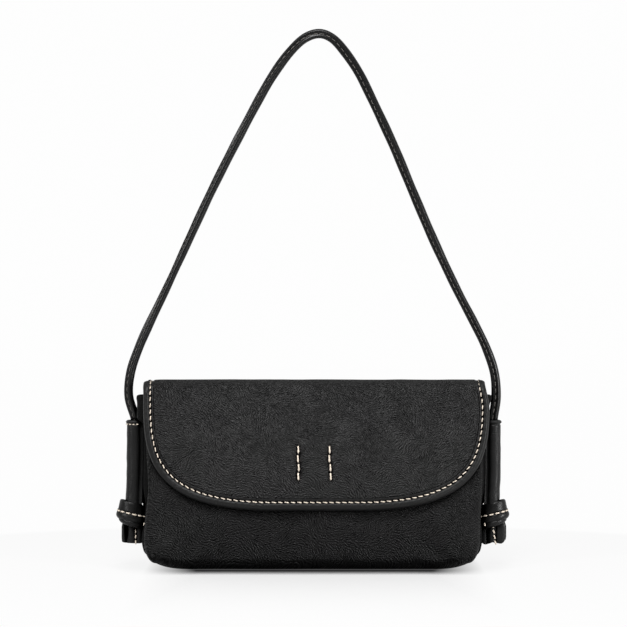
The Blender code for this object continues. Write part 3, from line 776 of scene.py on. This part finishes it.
# Body and gusset leather are copies of the same leather with weaker gloss, as painted shade: the body's shade
# reaches under the flap's edge, and the gussets, dimmest, are shaded beside the sleeves.
BODY_LEATHER_PAINTED_SHADE = leather("body_leather", 0.44, 0.118, 1.9, seed=1, reach=0.012)
GUSSET_LEATHER_PAINTED_SHADE = leather("gusset_leather", 0.46, 0.06, 0.60, seed=6, reach=0.024)
FLAP_LEATHER = leather("flap_leather", 0.44, 0.205, 1.85, seed=2)
TRIM_LEATHER = leather("trim_leather", 0.42, 0.20, 0.26, seed=3)
STRAP_LEATHER = leather("strap_leather", 0.30, 0.25, 0.08, seed=4, reach=0.005)
KNOT_LEATHER = leather("knot_leather", 0.38, 0.22, 0.16, seed=4, reach=0.005)
SLEEVE_LEATHER = leather("sleeve_leather", 0.44, 0.24, 0.40, seed=7, reach=0.005)
FACING_LEATHER = leather("facing_leather", 0.52, 0.20, 0.20, seed=5)
THREAD = thread_material("cream_thread", (0.68, 0.59, 0.49))
STRAP_THREAD = thread_material("strap_thread", (0.06, 0.055, 0.05))
CLOTH = cloth_material("lining_cloth", (0.024, 0.024, 0.026), 0.9)
FIBRE_BOARD = board_material()
SNAP_METAL = metal_material()


# Body


def build_walls():
    """Front and back panels, which swell, crease at their low corners and roll under."""
    level, roll = wall_rows(BODY_TOP, 110, 18)
    full = half_width(level)
    x = full * (0.35 * np.sin(np.pi / 2 * spread(201)) + 0.65 * spread(201))
    for name, side in WALLS:
        swell = softness(x, level, side) - curl(x, full, level, side) * np.cos(roll)
        grids = [wall_point(x, level, roll, side, depth, swell) for depth in (0, LEATHER)]
        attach(piece(name + "_leather", thick(*grids), BODY_LEATHER_PAINTED_SHADE, (name + "_panel",)), "bag")


def build_base():
    y = spread(41).T
    x = half_width(0) * spread(161) + 0 * y
    y = y * (BASE_DEPTH / 2 - BASE_ROLL - GAP - sag(x, 0.0))
    wave = 0.0003 * (1 + noise(stacked(x, y, 0.0), 0.02, 21))
    grids = [base_point(x, y, depth) for depth in (wave * 0.5, LEATHER)]
    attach(piece("base_leather", thick(*grids), BODY_LEATHER_PAINTED_SHADE, ("base_panel",)), "bag")


def end_grid(level, roll, inset, depth, bulge, thickness, columns, draw_in=0):
    """Rows of points down one end wall and under it; draw_in pulls its side edges in from the seams."""
    edge = wall_point(half_width(level) - inset, level, roll, 1, depth)
    edge[..., 0] -= lean(edge[..., 2]) + waist(edge[..., 0], edge[..., 2])
    v = spread(columns)
    x = edge[..., 0] + bulge * (1 - v * v) - thickness * np.cos(roll)
    return stacked(x, v * (edge[..., 1] - draw_in), edge[..., 2] + thickness * np.sin(roll))


def mirrored(points, side):
    """Points of an end wall on its own side of the bag, with the body's lean."""
    points = points * np.array([side, 1, 1])
    at_seam = np.clip(np.abs(points[..., 1]) / half_depth(points[..., 2]), 0, 1) ** 6
    points[..., 0] += lean(points[..., 2]) + waist(points[..., 0], points[..., 2]) * at_seam
    return points


def build_gussets():
    """Ends that bulge, fold at their tops, draw in beside the sleeves and tuck under the base."""
    depth = LEATHER + GAP
    level, roll = wall_rows(GUSSET_TOP, 90, 12)
    half, bulge = half_width(level), gusset_bulge(level) * np.cos(roll)
    v = spread(41)
    across = 1 - v ** 4
    pleat = 0.0010 * np.cos(3.2 * np.pi * v) * smooth((level - 0.10) / 0.02) * across
    dip = 0.0046 * smooth((np.abs(v) - 0.44) / 0.14) * smooth((1 - np.abs(v)) / 0.09) * np.cos(roll)
    beside = bell((level - 0.042) / 0.013) * smooth((np.abs(v) - 0.03) / 0.17) * across
    for name, side in ENDS:
        front, back = (curl(side * half, half, level, wall) * np.cos(roll) for _, wall in WALLS)
        draw_in = np.where(v < 0, front, back) * 0.96
        fold = gusset_fold(level) * across if side < 0 else 0
        drawn = (-0.0034 if side < 0 else -0.0020) * beside
        grids = []
        for thickness, hem in ((0, 0.0007), (LEATHER, 0)):
            rows = end_grid(level, roll, 0, depth, bulge, thickness, 41, draw_in)
            wave = noise(rows + side, 0.02, 31) * 0.0003 * smooth((GUSSET_TOP - level) / 0.02)
            rim = hem * bell((GUSSET_TOP - 0.002 - level) / 0.0022)
            rows[..., 0] += wave - pleat + rim + fold + drawn - dip
            tuck = base_point(half_width(0) - GUSSET_TUCK, abs(rows[-1, 0, 1]) * v, depth + thickness)
            tuck[..., 0] -= lean(0)
            grids.append(mirrored(np.concatenate([rows, rows[-1:] * 0.5 + tuck * 0.5, tuck]), side))
        made = piece("gusset_leather_" + name, thick(*grids), GUSSET_LEATHER_PAINTED_SHADE, ("gusset_" + name,))
        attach(made, "bag")


def build_lining():
    """Lining: one cloth down the front, over the board and up the back, and one at each end."""
    inset = GUSSET_TUCK + 2 * GAP
    on_board = BOARD + 2 * GAP + LEATHER
    level, roll = wall_rows(LINING_TOP, 60, 10)
    depth = LINING_DEPTH + (on_board - LINING_DEPTH) * np.sin(roll) ** 2
    x = (half_width(level) - inset) * spread(121)
    loose = 0.0006 * (1 + noise(stacked(x, 0.1, level), 0.022, 41)) * smooth(level / 0.02)
    loose = loose * smooth((LINING_TOP - level) / 0.02) + sag(x, level)
    y = np.linspace(-1, 1, 25)[1:-1, None]
    low_x = (half_width(0) - inset) * spread(121) + 0 * y
    low_y = y * (BASE_DEPTH / 2 - BASE_ROLL - sag(low_x, 0.0))
    grids = []
    for thickness in (0, LINING):
        front, back = (wall_point(x, level, roll, side, depth + thickness, -loose) for _, side in WALLS)
        grids.append(np.concatenate([front, base_point(low_x, low_y, on_board + thickness), back[::-1]]))
    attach(piece("lining_cloth_body", thick(*grids), CLOTH, ("lining_body",)), "bag")
    for name, side in ENDS:
        ends = [end_grid(level, roll, inset, on_board + GAP + LINING, 0, depth, 31) for depth in (0, LINING)]
        shape = thick(*(mirrored(end, side) for end in ends))
        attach(piece("lining_cloth_" + name, shape, CLOTH, ("lining_end_" + name,)), "bag")


def wall_patch(name, side, half, low, high, thickness, material, node):
    """A sheet that lies on the lining of a wall."""
    depth = LINING_DEPTH + LINING + GAP
    level = np.linspace(high, low, 40)[:, None]
    grids = [wall_point(half * spread(121), level, 0 * level, side, d) for d in (depth, depth + thickness)]
    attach(piece(name, thick(*grids), material, (node,)), "bag")


def build_inside_trim():
    half = float(half_width(BODY_TOP)) - GUSSET_TUCK - LINING - 4 * GAP
    for name, side in WALLS:
        wall_patch("facing_" + name, side, half, BODY_TOP - FACING_HEIGHT, BODY_TOP, FACING, FACING_LEATHER,
                   "mouth_facing_" + name)
    wall_patch("pocket_cloth", 1, POCKET_WIDTH / 2, POCKET_LOW, POCKET_HIGH, LINING, CLOTH,
               "slip_pocket")


# Flap


BAND_RUN = HINGE_HEIGHT - BAND_LOW


def trim_height(inner, width):
    """Height of the trim's upper face, in leathers, at a distance from its inner edge."""
    seam_at = SEAM_SHARE * width
    puff = 0.80 + 0.80 * np.sin(np.pi * np.clip((inner - seam_at) / (width - seam_at), 0, 1)) ** 0.9
    seam = 0.26 * bell((inner - seam_at) / 0.00085)
    lip = 0.16 * bell((inner - 0.00085) / 0.00070)
    rim = 0.62 * np.exp(-np.clip(width - inner, 0, None) / 0.00075)
    hem = 0.28 * np.exp(-np.clip(inner, 0, None) / 0.00030)
    return puff - seam + lip - rim - hem


def build_trim():
    """Strip of leather round the flap's edge, with its seam's row of stitches and their holes."""
    flat = resampled(np.stack(flap_outline(120, 260, 240, -BAND_RUN), -1), OUTLINE_STEP).T
    normal = inward(*flat)
    width = trim_width(normal)
    seam = flat + normal * width * (1 - SEAM_SHARE)
    run = run_along(flap_point(*seam, FLAP_THICKNESS))
    count = int(run[-1] / TRIM_PITCH)
    pitch = run[-1] / count
    phase = np.mod(run + TRIM_START, pitch) / pitch
    hole = bell(np.minimum(phase, 1 - phase) * pitch / 0.00065)
    upper, lower = [], []
    shares = np.concatenate([np.linspace(0, 0.12, 6), np.linspace(0.14, 0.86, 30), np.linspace(0.88, 1, 6)])
    for share in shares:
        x, path = flat + normal * share * width
        inner = (1 - share) * width
        from_seam = inner - SEAM_SHARE * width
        on_top = smooth((FRONT_START - path) / 0.005) * smooth((path - TURN) / 0.005)
        rise = (trim_height(inner, width) * (1 - 0.7 * on_top) + 0.66 * on_top) * LEATHER
        dent = 0.00050 * hole * bell(from_seam / 0.0008)
        pucker = 0.00014 * np.cos(2 * np.pi * phase) * bell(from_seam / 0.0030)
        swell = flap_waves(x, path) + 0.00022 * noise(stacked(x, 0.2, path), 0.011, 17)
        upper.append(flap_point(x, path, LINING + GAP + rise - dent - pucker + swell))
        lower.append(flap_point(x, path, LINING + GAP))
    shape = thick(np.stack(upper, 1), np.stack(lower, 1), 0.5)
    made = piece("trim_strip", shape, TRIM_LEATHER, ("flap_trim",))
    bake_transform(made)
    stitches = []
    slant = np.array([[0.00030], [-0.00030]])
    for k in range(count):
        at = np.array([k + 0.13, k + 0.87]) * pitch - TRIM_START
        ends = taken_at(at, run, seam.T) + taken_at(at, run, normal.T) * slant
        lift = LINING + GAP + LEATHER * 0.66 + float(flap_waves(*ends[0]))
        middle = ends.mean(0)
        out = flap_point(*middle, lift + 0.001) - flap_point(*middle, lift)
        stitches.append(stitch(*(flap_point(*end, lift) for end in ends), out, *TRIM_STITCH))
    made = piece("trim_stitches", merged(stitches), THREAD)
    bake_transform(made)


def flap_grid(margin, back_to, straight, rounds, columns):
    """Flat (x, path) grid over the flap, inside its outline by a margin of normals."""
    x, path = flap_outline(straight, rounds, 12, back_to)
    normal = inward(x, path)
    reach = margin(normal)
    x, path = x + normal[0] * reach, np.maximum(back_to, path + normal[1] * reach)
    rows = straight + rounds
    share = spread(columns)
    return -x[:rows, None] * share, path[:rows, None] + 0 * share


def build_flap():
    """Flap leather, in one with the band sewn down the back, its lining, and the patch for the snap."""
    x, path = flap_grid(lambda normal: trim_width(normal) + FLAP_FIT, -BAND_RUN, 90, 170, 281)
    swell = flap_waves(x, path) + bar_dents(x, path)
    outer = flap_point(x, path, FLAP_THICKNESS + swell)
    inner = flap_point(x, path, LINING + GAP + np.minimum(0, swell))
    made = piece("flap_leather", thick(outer, inner, 0.3), FLAP_LEATHER, ("flap_panel", "back_band"))
    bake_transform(made)
    x, path = flap_grid(lambda normal: LINING_MARGIN, 0.0, 40, 60, 121)
    grids = [flap_point(x, path, offset) for offset in (LINING, 0.0)]
    made = piece("flap_cloth", thick(*grids), CLOTH, ("flap_lining",))
    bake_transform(made)
    stitches = []
    for centre, middle in bar_places():
        ends = []
        for end in (1, -1):
            along = path_at(middle + end * BAR_PITCH * 0.41)
            ends.append(flap_point(centre - end * 0.00012, along, FLAP_THICKNESS - 0.0001))
        stitches.append(stitch(*ends, (0, -1, 0.05), *BAR_STITCH, 4.0, 14, 17))
    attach(piece("patch_stitches", merged(stitches), THREAD), "flap")
    x = PATCH_SIZE / 2 * spread(31)
    grids = [flap_point(x, path_at(SNAP_HEIGHT - x.T), -depth) for depth in (GAP, GAP + PATCH)]
    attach(piece("patch_leather", thick(*grids), FACING_LEATHER, ("closure_patch",)), "flap")


# Sleeves, knots and strap


def sleeve_section(half, rise, base):
    """A round channel with thin flanges either side: (y, height off the gusset)."""
    angle = np.linspace(-0.86, np.pi + 0.86, 57)
    round_y = half * rounded(np.cos(angle), 0.75)
    round_h = np.maximum(base + rise + rise * rounded(np.sin(angle), 0.85), base)
    run = np.linspace(1, 0.12, 9)
    flange = round_y[0] + 0.0005 * run
    thin = GAP + (base - GAP) * (1 - 0.85 * run ** 0.5)
    return np.concatenate([flange, round_y, -flange[::-1]]), np.concatenate([thin, round_h, thin[::-1]])


def build_sleeves():
    """Strips of leather on the gussets, each round a channel for the strap, with a rolled rim."""
    half = SLEEVE_HALF_WIDTH * 0.9
    base = GAP + SLEEVE_WALL
    z = np.linspace(SLEEVE_LOW - 0.0024, RIM_TOP - 0.004, 64)
    z = np.concatenate([z, np.linspace(RIM_TOP - 0.0037, RIM_TOP, 14)])[:, None]
    rim = 0.0008 * bell((RIM_TOP - 0.0010 - z) / 0.0009) - 0.0004 * bell((SLEEVE_SEAM - z) / 0.0007)
    for name, side in ENDS:
        rise = (SLEEVE_HEIGHT - SLEEVE_WALL - GAP) / 2 + (0.0006 if side < 0 else 0.0003)
        centre = base + rise
        outer_y, outer_h = sleeve_section(half, rise, base)
        inner_y, inner_h = sleeve_section(half - SLEEVE_WALL, rise - 0.0004, GAP)
        away_y, away_h = outer_y / SLEEVE_HALF_WIDTH, (outer_h - centre) / rise
        size = np.maximum(np.hypot(away_y, away_h), 0.2)
        away_y, away_h = away_y / size, away_h / size
        fold = 0.00028 * noise(stacked(away_y * 0.01, side * 0.4, z + 0.4 * away_y * 0.01), 0.006, 51)
        fold = fold + 0.0004 * noise(stacked(away_y * 0.01, side * 0.6, z), 0.018, 53)
        puff = (rim + fold) * smooth((outer_h - base) / 0.002)
        grids = []
        for y, h, out in ((outer_y, outer_h, puff), (inner_y, inner_h, 0)):
            x = side * (gusset_x(y, z) + (h + away_h * out)) + lean(z)
            grids.append(stacked(x, y + away_y * out, z))
        shape = thick(*grids, 0.5)
        made = piece("sleeve_leather_" + name, shape, SLEEVE_LEATHER, ("sleeve_" + name,))
        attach(made, "bag")

        def seam_point(y, h):
            x = side * (float(gusset_x(y, SLEEVE_SEAM)) + h) + lean(SLEEVE_SEAM)
            return np.array([x, y, SLEEVE_SEAM])

        stitches = []
        for start in (np.arange(-1.15, 1.7, 0.50) if side < 0 else np.arange(-2.7, -1.0, 0.50)):
            turns = start, start + 0.36
            ends = [seam_point(-half * math.cos(turn), centre + rise * math.sin(turn)) for turn in turns]
            stitches.append(stitch(*ends, (ends[0] + ends[1]) / 2 - seam_point(0, centre), *SLEEVE_STITCH))
        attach(piece("sleeve_stitches_" + name, merged(stitches), THREAD), "bag")


# How the strap's seam turns away from the front: share of the strap's length, degrees
STRAP_TURNS = (
    (0, 30), (0.13, 30), (0.24, 55), (0.36, 50), (0.46, 20), (0.54, -22), (0.66, -34), (0.9, -20), (1, -16),
)


def arch_knots():
    """The strap's line: up inside the left sleeve, over the arch and down inside the right one."""
    foot = float(gusset_x(0, SLEEVE_TOP)) + SLEEVE_HEIGHT - SLEEVE_WALL - GAP - STRAP_WIDTH / 2
    legs = []
    for _, side in ENDS:
        leg = [(side * foot, 0, z) for z in (SLEEVE_LOW - 0.004, 0.075, 0.095, SLEEVE_TOP)]
        for up, out, shift in ARCH_SHARES:
            x = side * STRAP_HALF_SPAN * out + STRAP_LEAN * shift
            leg.append((x, 0, SLEEVE_TOP + (STRAP_TOP - SLEEVE_TOP) * up))
        legs.append(leg)
    return legs[0] + [(STRAP_LEAN, 0, STRAP_TOP)] + legs[1][::-1]


def strap_section():
    """Section of the rolled strap: two fat lobes that meet in a stitched groove on the +V side."""
    angles = circle(44)
    front, back = np.clip(np.sin(angles), 0, 1), np.clip(-np.sin(angles), 0, 1)
    pinch = 1 - 0.42 * front ** 9 - 0.10 * back ** 12
    return STRAP_WIDTH / 2 * np.cos(angles), STRAP_DEPTH / 2 * np.sin(angles) * pinch


def build_strap():
    """One rolled strap from inside one sleeve, over the arch and into the other, with its seam."""
    line = resampled(curve(arch_knots(), 24), STRAP_STEP)
    count = np.arange(len(line))
    along = unit(np.gradient(line, axis=0))
    across = np.stack([along[:, 2], 0 * along[:, 0], -along[:, 0]], -1)
    forward = np.array([0, -1.0, 0])
    share = np.linspace(0, 1, len(line))
    turn = np.interp(share, *zip(*STRAP_TURNS)) + 3 * np.sin(share * 31) + 3 * np.sin(share * 57 + 1)
    turn = np.radians(turn)[:, None]
    side_axis = across * np.cos(turn) + forward * np.sin(turn)
    front_axis = forward * np.cos(turn) - across * np.sin(turn)
    thin = 0.09 * bell((line[:, 2] - np.where(line[:, 0] < 0, 0.222, 0.200)) / 0.034)
    size = (1 - thin + 0.02 * np.sin(count * 0.21) + 0.015 * np.sin(count * 0.093 + 2))[:, None]
    u, v = ((size * part)[..., None] for part in strap_section())
    rings = line[:, None] + u * side_axis[:, None] + v * front_axis[:, None]
    made = piece("strap_roll", tube(rings), STRAP_LEATHER, ("strap_arch",))
    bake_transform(made)
    seam = line + front_axis * STRAP_DEPTH * 0.30
    run = run_along(seam)
    stitches = []
    for k in range(int(run[-1] / STRAP_PITCH)):
        at = np.array([k + 0.12, k + 0.88]) * STRAP_PITCH
        out = front_axis[np.interp(at, run, count).astype(int)].sum(0)
        stitches.append(stitch(*taken_at(at, run, seam), out, *STRAP_STITCH))
    made = piece("strap_stitches", merged(stitches), STRAP_THREAD)
    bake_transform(made)


KNOT_X = 0.1408
KNOT_LEVEL = 0.0421
# Knot band section, from its top round the outside: reach from the strap's line, height from the knot's middle
BAND_SECTION = (
    (0.0056, 0.0070), (0.0068, 0.0080), (0.0079, 0.0070), (0.0086, 0.0035), (0.0092, 0.0003),
    (0.0093, -0.0014), (0.0099, -0.0034), (0.0099, -0.0056), (0.0086, -0.0074), (0.0066, -0.0066),
    (0.0052, -0.0030), (0.0050, 0.0030),
)
# Plug in the knot's middle: height, share of its radius
KNOT_PLUG = ((0.0055, 0.3), (0.0060, 0.8), (0.0040, 1.0), (-0.0080, 1.0), (-0.0100, 0.6))
KNOT_RADIUS = 0.0060
KNOT_LIP = 0.0029
# Tail sections in millimetres: outward from the strap's line, forward
TAIL_LEFT = (
    (-8.0, -1.0), (-8.3, 0.8), (-7.0, 2.1), (-3.4, 2.5), (-2.1, 1.2), (-1.0, 2.9), (1.0, 3.8), (2.7, 3.6),
    (3.6, 2.0), (3.7, -1.2), (4.9, -1.4), (5.9, 0.9), (6.9, 2.2), (8.3, 1.2), (8.4, -2.0), (5.0, -4.0),
    (0.0, -4.3), (-5.0, -3.4),
)
TAIL_RIGHT = (
    (-10.0, -1.0), (-10.1, 0.5), (-8.0, 1.3), (-5.4, 1.0), (-4.7, -1.2), (-4.0, 1.6), (-2.7, 3.7),
    (-0.6, 4.2), (0.9, 3.2), (1.7, 1.6), (2.7, 2.2), (6.5, 2.2), (8.7, 1.4), (9.2, 0.0), (8.8, -1.6),
    (4.0, -3.2), (-3.0, -3.6), (-8.0, -2.6),
)
# Left tail's slit, where it is shut: place in the section, moves outward and forward
TAIL_SLIT = ((8, 0.0013, 0), (9, 0.0007, 0.0030), (10, -0.0004, 0.0030), (11, -0.0008, 0), (12, -0.0006, 0))
# Each tail: section, line's x, seam's x at the top and low end of its first stitch, its drift, its y and thread
TAILS = (
    (TAIL_LEFT, KNOT_X - 0.0002, 0.0021 - KNOT_X, 0.0021 - KNOT_X, 0.0, -0.0016, 0.0005),
    (TAIL_RIGHT, KNOT_X - 0.0018, KNOT_X - 0.0040, KNOT_X - 0.0028, 0.0007, -0.0036, 0.0006),
)


def knot_points(side, turn, out, up):
    """Places on the knot: turn round the strap, reach out from it and height, all leaning up outwards."""
    x = out * 1.11 * np.cos(turn)
    y = -out * 0.93 * np.sin(turn)
    return stacked(side * (KNOT_X + x) + lean(KNOT_LEVEL), y, KNOT_LEVEL + up + 0.24 * x - 0.04 * y)


def build_knots():
    """The flared band that the strap makes round itself below each sleeve, with its seam of stitches."""
    reach, up = curve(BAND_SECTION, 5, True).T
    for name, side in ENDS:
        turn = np.linspace(0, 2 * np.pi, 121)[:, None]
        wave = noise(stacked(np.cos(turn) * 0.01, np.sin(turn) * 0.01 + side, up), 0.006, 61) * 0.0004
        flare = 1 + 0.05 * np.cos(2 * turn) * (up < 0)
        band = tube(knot_points(side, turn, reach * flare + wave, up), False)
        turn = np.linspace(0, 2 * np.pi, 97)[:, None]
        high = -0.0078 + KNOT_LIP * np.sin(circle(24)) + 0.0008 * np.cos(turn + 1)
        second = tube(knot_points(side, turn, KNOT_RADIUS + KNOT_LIP * np.cos(circle(24)), high), False)
        plug = tube([knot_points(side, circle(40), KNOT_RADIUS * size, height) for height, size in KNOT_PLUG])
        shape = merged([band, second, plug])
        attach(piece("knot_" + name, shape, KNOT_LEATHER, ("strap_end_" + name,)), "bag")
        stitches = []
        for start in (np.arange(KNOT_STITCHES) + 0.5) * math.tau / KNOT_STITCHES:
            ends = [knot_points(side, turn, 0.0094, -0.0012) for turn in (start, start + 0.36)]
            out = knot_points(side, start + 0.18, 0.012, -0.0012) - ends[0]
            stitches.append(stitch(*ends, out, *KNOT_STITCH))
        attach(piece("knot_stitches_" + name, merged(stitches), THREAD), "bag")


def tail_points(side, section, line_x, height):
    """The tail's section at a height: drawn in under the knot, spread at mid height, its slit open there."""
    down = (0.0400 - height) / 0.0222
    points = np.array(section) * 0.001
    if side < 0:
        opening = max(0.0, math.sin(math.pi * min(1, max(0, (down - 0.10) / 0.86)))) ** 0.7
        for index, *move in TAIL_SLIT:
            points[index] += np.array(move) * (1 - opening)
    u, v = curve(points, 5, True).T
    wide = 0.77 + 0.30 * smooth(down * 2.2) - 0.03 * smooth((down - 0.8) * 5)
    flat = 1 - 0.22 * smooth((down - 0.3) * 1.6)
    ripple = 0.0009 * np.cos(u * 500) if side > 0 else 0
    bottom = 0.05 * u * smooth((down - 0.6) * 2.5) + ripple * smooth((down - 0.7) * 3)
    corner = np.clip(np.abs(u - u.mean()) / 0.0085, 0, 1.1) ** 7 * smooth((down - 0.72) * 4)
    return stacked(side * (line_x + u * wide), -v * flat, height + bottom + 0.0012 * corner)


def build_tails():
    """The spread end of the strap below each knot, with its seam."""
    heights = np.concatenate([np.linspace(0.0410, 0.0184, 44), [0.0180, 0.0178]])
    out = (0, -1, 0)
    for (name, side), (section, line_x, top_x, low_x, drift, y, thread) in zip(ENDS, TAILS):
        rings = [tail_points(side, section, line_x, height) for height in heights]
        middle = rings[-1].mean(0)
        rings[-1] = middle + (rings[-1] - middle) * np.array([0.97, 0.88, 1])
        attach(piece("tail_" + name, tube(rings), KNOT_LEATHER), "bag")
        stitches = []
        for k in range(TAIL_STITCHES):
            top = TAIL_TOP - TAIL_PITCH * k
            ends = (top_x + drift * k, y, top), (low_x + drift * k, y, top - 0.0032)
            stitches.append(stitch(*ends, out, thread, 0.0006))
        side_x = side * 0.1318
        stitches.append(stitch((side_x, -0.0062, 0.0340), (side_x, -0.0062, 0.0312), out, 0.0005, 0.0004))
        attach(piece("tail_stitches_" + name, merged(stitches), THREAD), "bag")


# CAD nodes that stay


def dress_solids():
    for name in ("base_board", "snap_socket", "socket_washer", "snap_stud"):
        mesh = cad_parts[name].data
        mesh.materials.clear()
        mesh.materials.append(FIBRE_BOARD if name == "base_board" else SNAP_METAL)


# Stage


def rays_that_see(tree):
    """1 for rays from the camera, and for mirrored or passing rays that run back from the front: else 0."""
    path = wire(tree, "LightPath").node.outputs
    straight = maths(tree, "MAXIMUM", path["Is Glossy Ray"], path["Is Transmission Ray"])
    heading = axes_of(tree, wire(tree, "NewGeometry", output="Incoming"))
    backward = maths(tree, "LESS_THAN", heading["Y"], 0.0)
    sideways = ranged(tree, maths(tree, "ABSOLUTE", heading["X"], 0.0), 0.05, 0.45, 0.05, 1.0)
    back = product(tree, straight, product(tree, backward, sideways))
    return maths(tree, "MAXIMUM", path["Is Camera Ray"], back)


def floor_material():
    """Pale floor, with a painted contact shadow right under the bag, that passes into the white background away
    from it.
    """
    made, tree, shader = nodes_of("pale_floor")
    place = wire(tree, "TexCoord", output="Object")
    away = vector(tree, "LENGTH", vector(tree, "MULTIPLY", place, (0.8, 1.0, 1.0)), output="Value")
    axes = axes_of(tree, place)
    beside = ranged(tree, maths(tree, "ABSOLUTE", axes["X"], 0.0), 0.090, 0.130, 0.0, 0.90)
    behind = ranged(tree, axes["Y"], -0.03, 0.04, 0.0, 0.90)
    far = ranged(tree, away, 0.10, 0.34, 0.0, 1.0)
    far = maths(tree, "MAXIMUM", far, maths(tree, "MAXIMUM", beside, behind))
    # painted shadow: the floor's colour is darkened by an occlusion test near the bag
    inside = wire(tree, "AmbientOcclusion", {"Distance": 0.030}, "AO", samples=16)
    painted_contact_shadow = ranged(tree, inside, 0.45, 1.0, 0.08, 1.0)
    fade = ranged(tree, away, 0.40, 0.60, 1.0, 0.3)
    tint = scaled_colour(tree, (0.75, 0.75, 0.75), fade, product(tree, painted_contact_shadow, painted_contact_shadow))
    fill(tree, shader, {"Base Color": tint, "Roughness": 0.6, "Specular IOR Level": 0.2})
    white = wire(tree, "Emission", {"Color": (0.985, 0.985, 0.985, 1)})
    share = product(tree, far, rays_that_see(tree))
    mix = wire(tree, "MixShader", {0: share, 1: shader.outputs[0], 2: white})
    fill(tree, tree.nodes["Material Output"], {"Surface": mix})
    return made


def build_stage():
    mesh = bpy.data.meshes.new("floor")
    mesh.from_pydata([(-6, -6, 0), (6, -6, 0), (6, 6, 0), (-6, 6, 0)], [], [(0, 1, 2, 3)])
    mesh.materials.append(floor_material())
    floor = bpy.data.objects.new("floor", mesh)
    bpy.context.scene.collection.objects.link(floor)
    world = bpy.data.worlds.new("studio")
    bpy.context.scene.world = world
    world.use_nodes = True
    tree = world.node_tree
    light = tree.nodes["Background"]
    fill(tree, light, {"Color": (1, 1, 1, 1), "Strength": 0.12})
    white = wire(tree, "Background", {"Color": (0.988, 0.988, 0.988, 1), "Strength": 1.0})
    mix = wire(tree, "MixShader", {0: rays_that_see(tree), 1: light.outputs[0], 2: white})
    fill(tree, tree.nodes["World Output"], {"Surface": mix})


def area_light(name, place, target, size, power):
    data = bpy.data.lights.new(name, "AREA")
    data.shape = "RECTANGLE"
    data.size, data.size_y = size
    data.energy = power
    lamp = bpy.data.objects.new(name, data)
    bpy.context.scene.collection.objects.link(lamp)
    lamp.location = place
    lamp.rotation_mode = "QUATERNION"
    lamp.rotation_quaternion = (Vector(target) - Vector(place)).to_track_quat("-Z", "Y")


def build_lights():
    area_light("key", (-0.15, -1.63, 1.83), (0, 0, 0.1), (0.9, 0.6), 45)
    area_light("left", (-1.5, -1.5, 0.9), (0, 0, 0.15), (0.5, 0.7), 22)
    area_light("right", (1.75, -1.4, 0.40), (0, 0, 0.06), (0.6, 0.7), 40)
    area_light("top", (0.0, -0.75, 2.1), (0, 0, 0.05), (1.4, 0.6), 12)


def build_camera():
    data = bpy.data.cameras.new("camera")
    data.sensor_width = 36
    data.lens = FOCAL_PIXELS / FRAME_PIXELS * data.sensor_width
    camera = bpy.data.objects.new("camera", data)
    bpy.context.scene.collection.objects.link(camera)
    camera.location = (CAMERA_SIDE, -CAMERA_DISTANCE, CAMERA_HEIGHT)
    camera.rotation_euler = (math.pi / 2, 0, 0)
    bpy.context.scene.camera = camera


build_walls()
build_base()
build_gussets()
build_lining()
build_inside_trim()
build_flap()
build_trim()
build_sleeves()
build_knots()
build_tails()
build_strap()
dress_solids()
build_stage()
build_lights()
build_camera()
bpy.context.scene.view_settings.view_transform = "Standard"
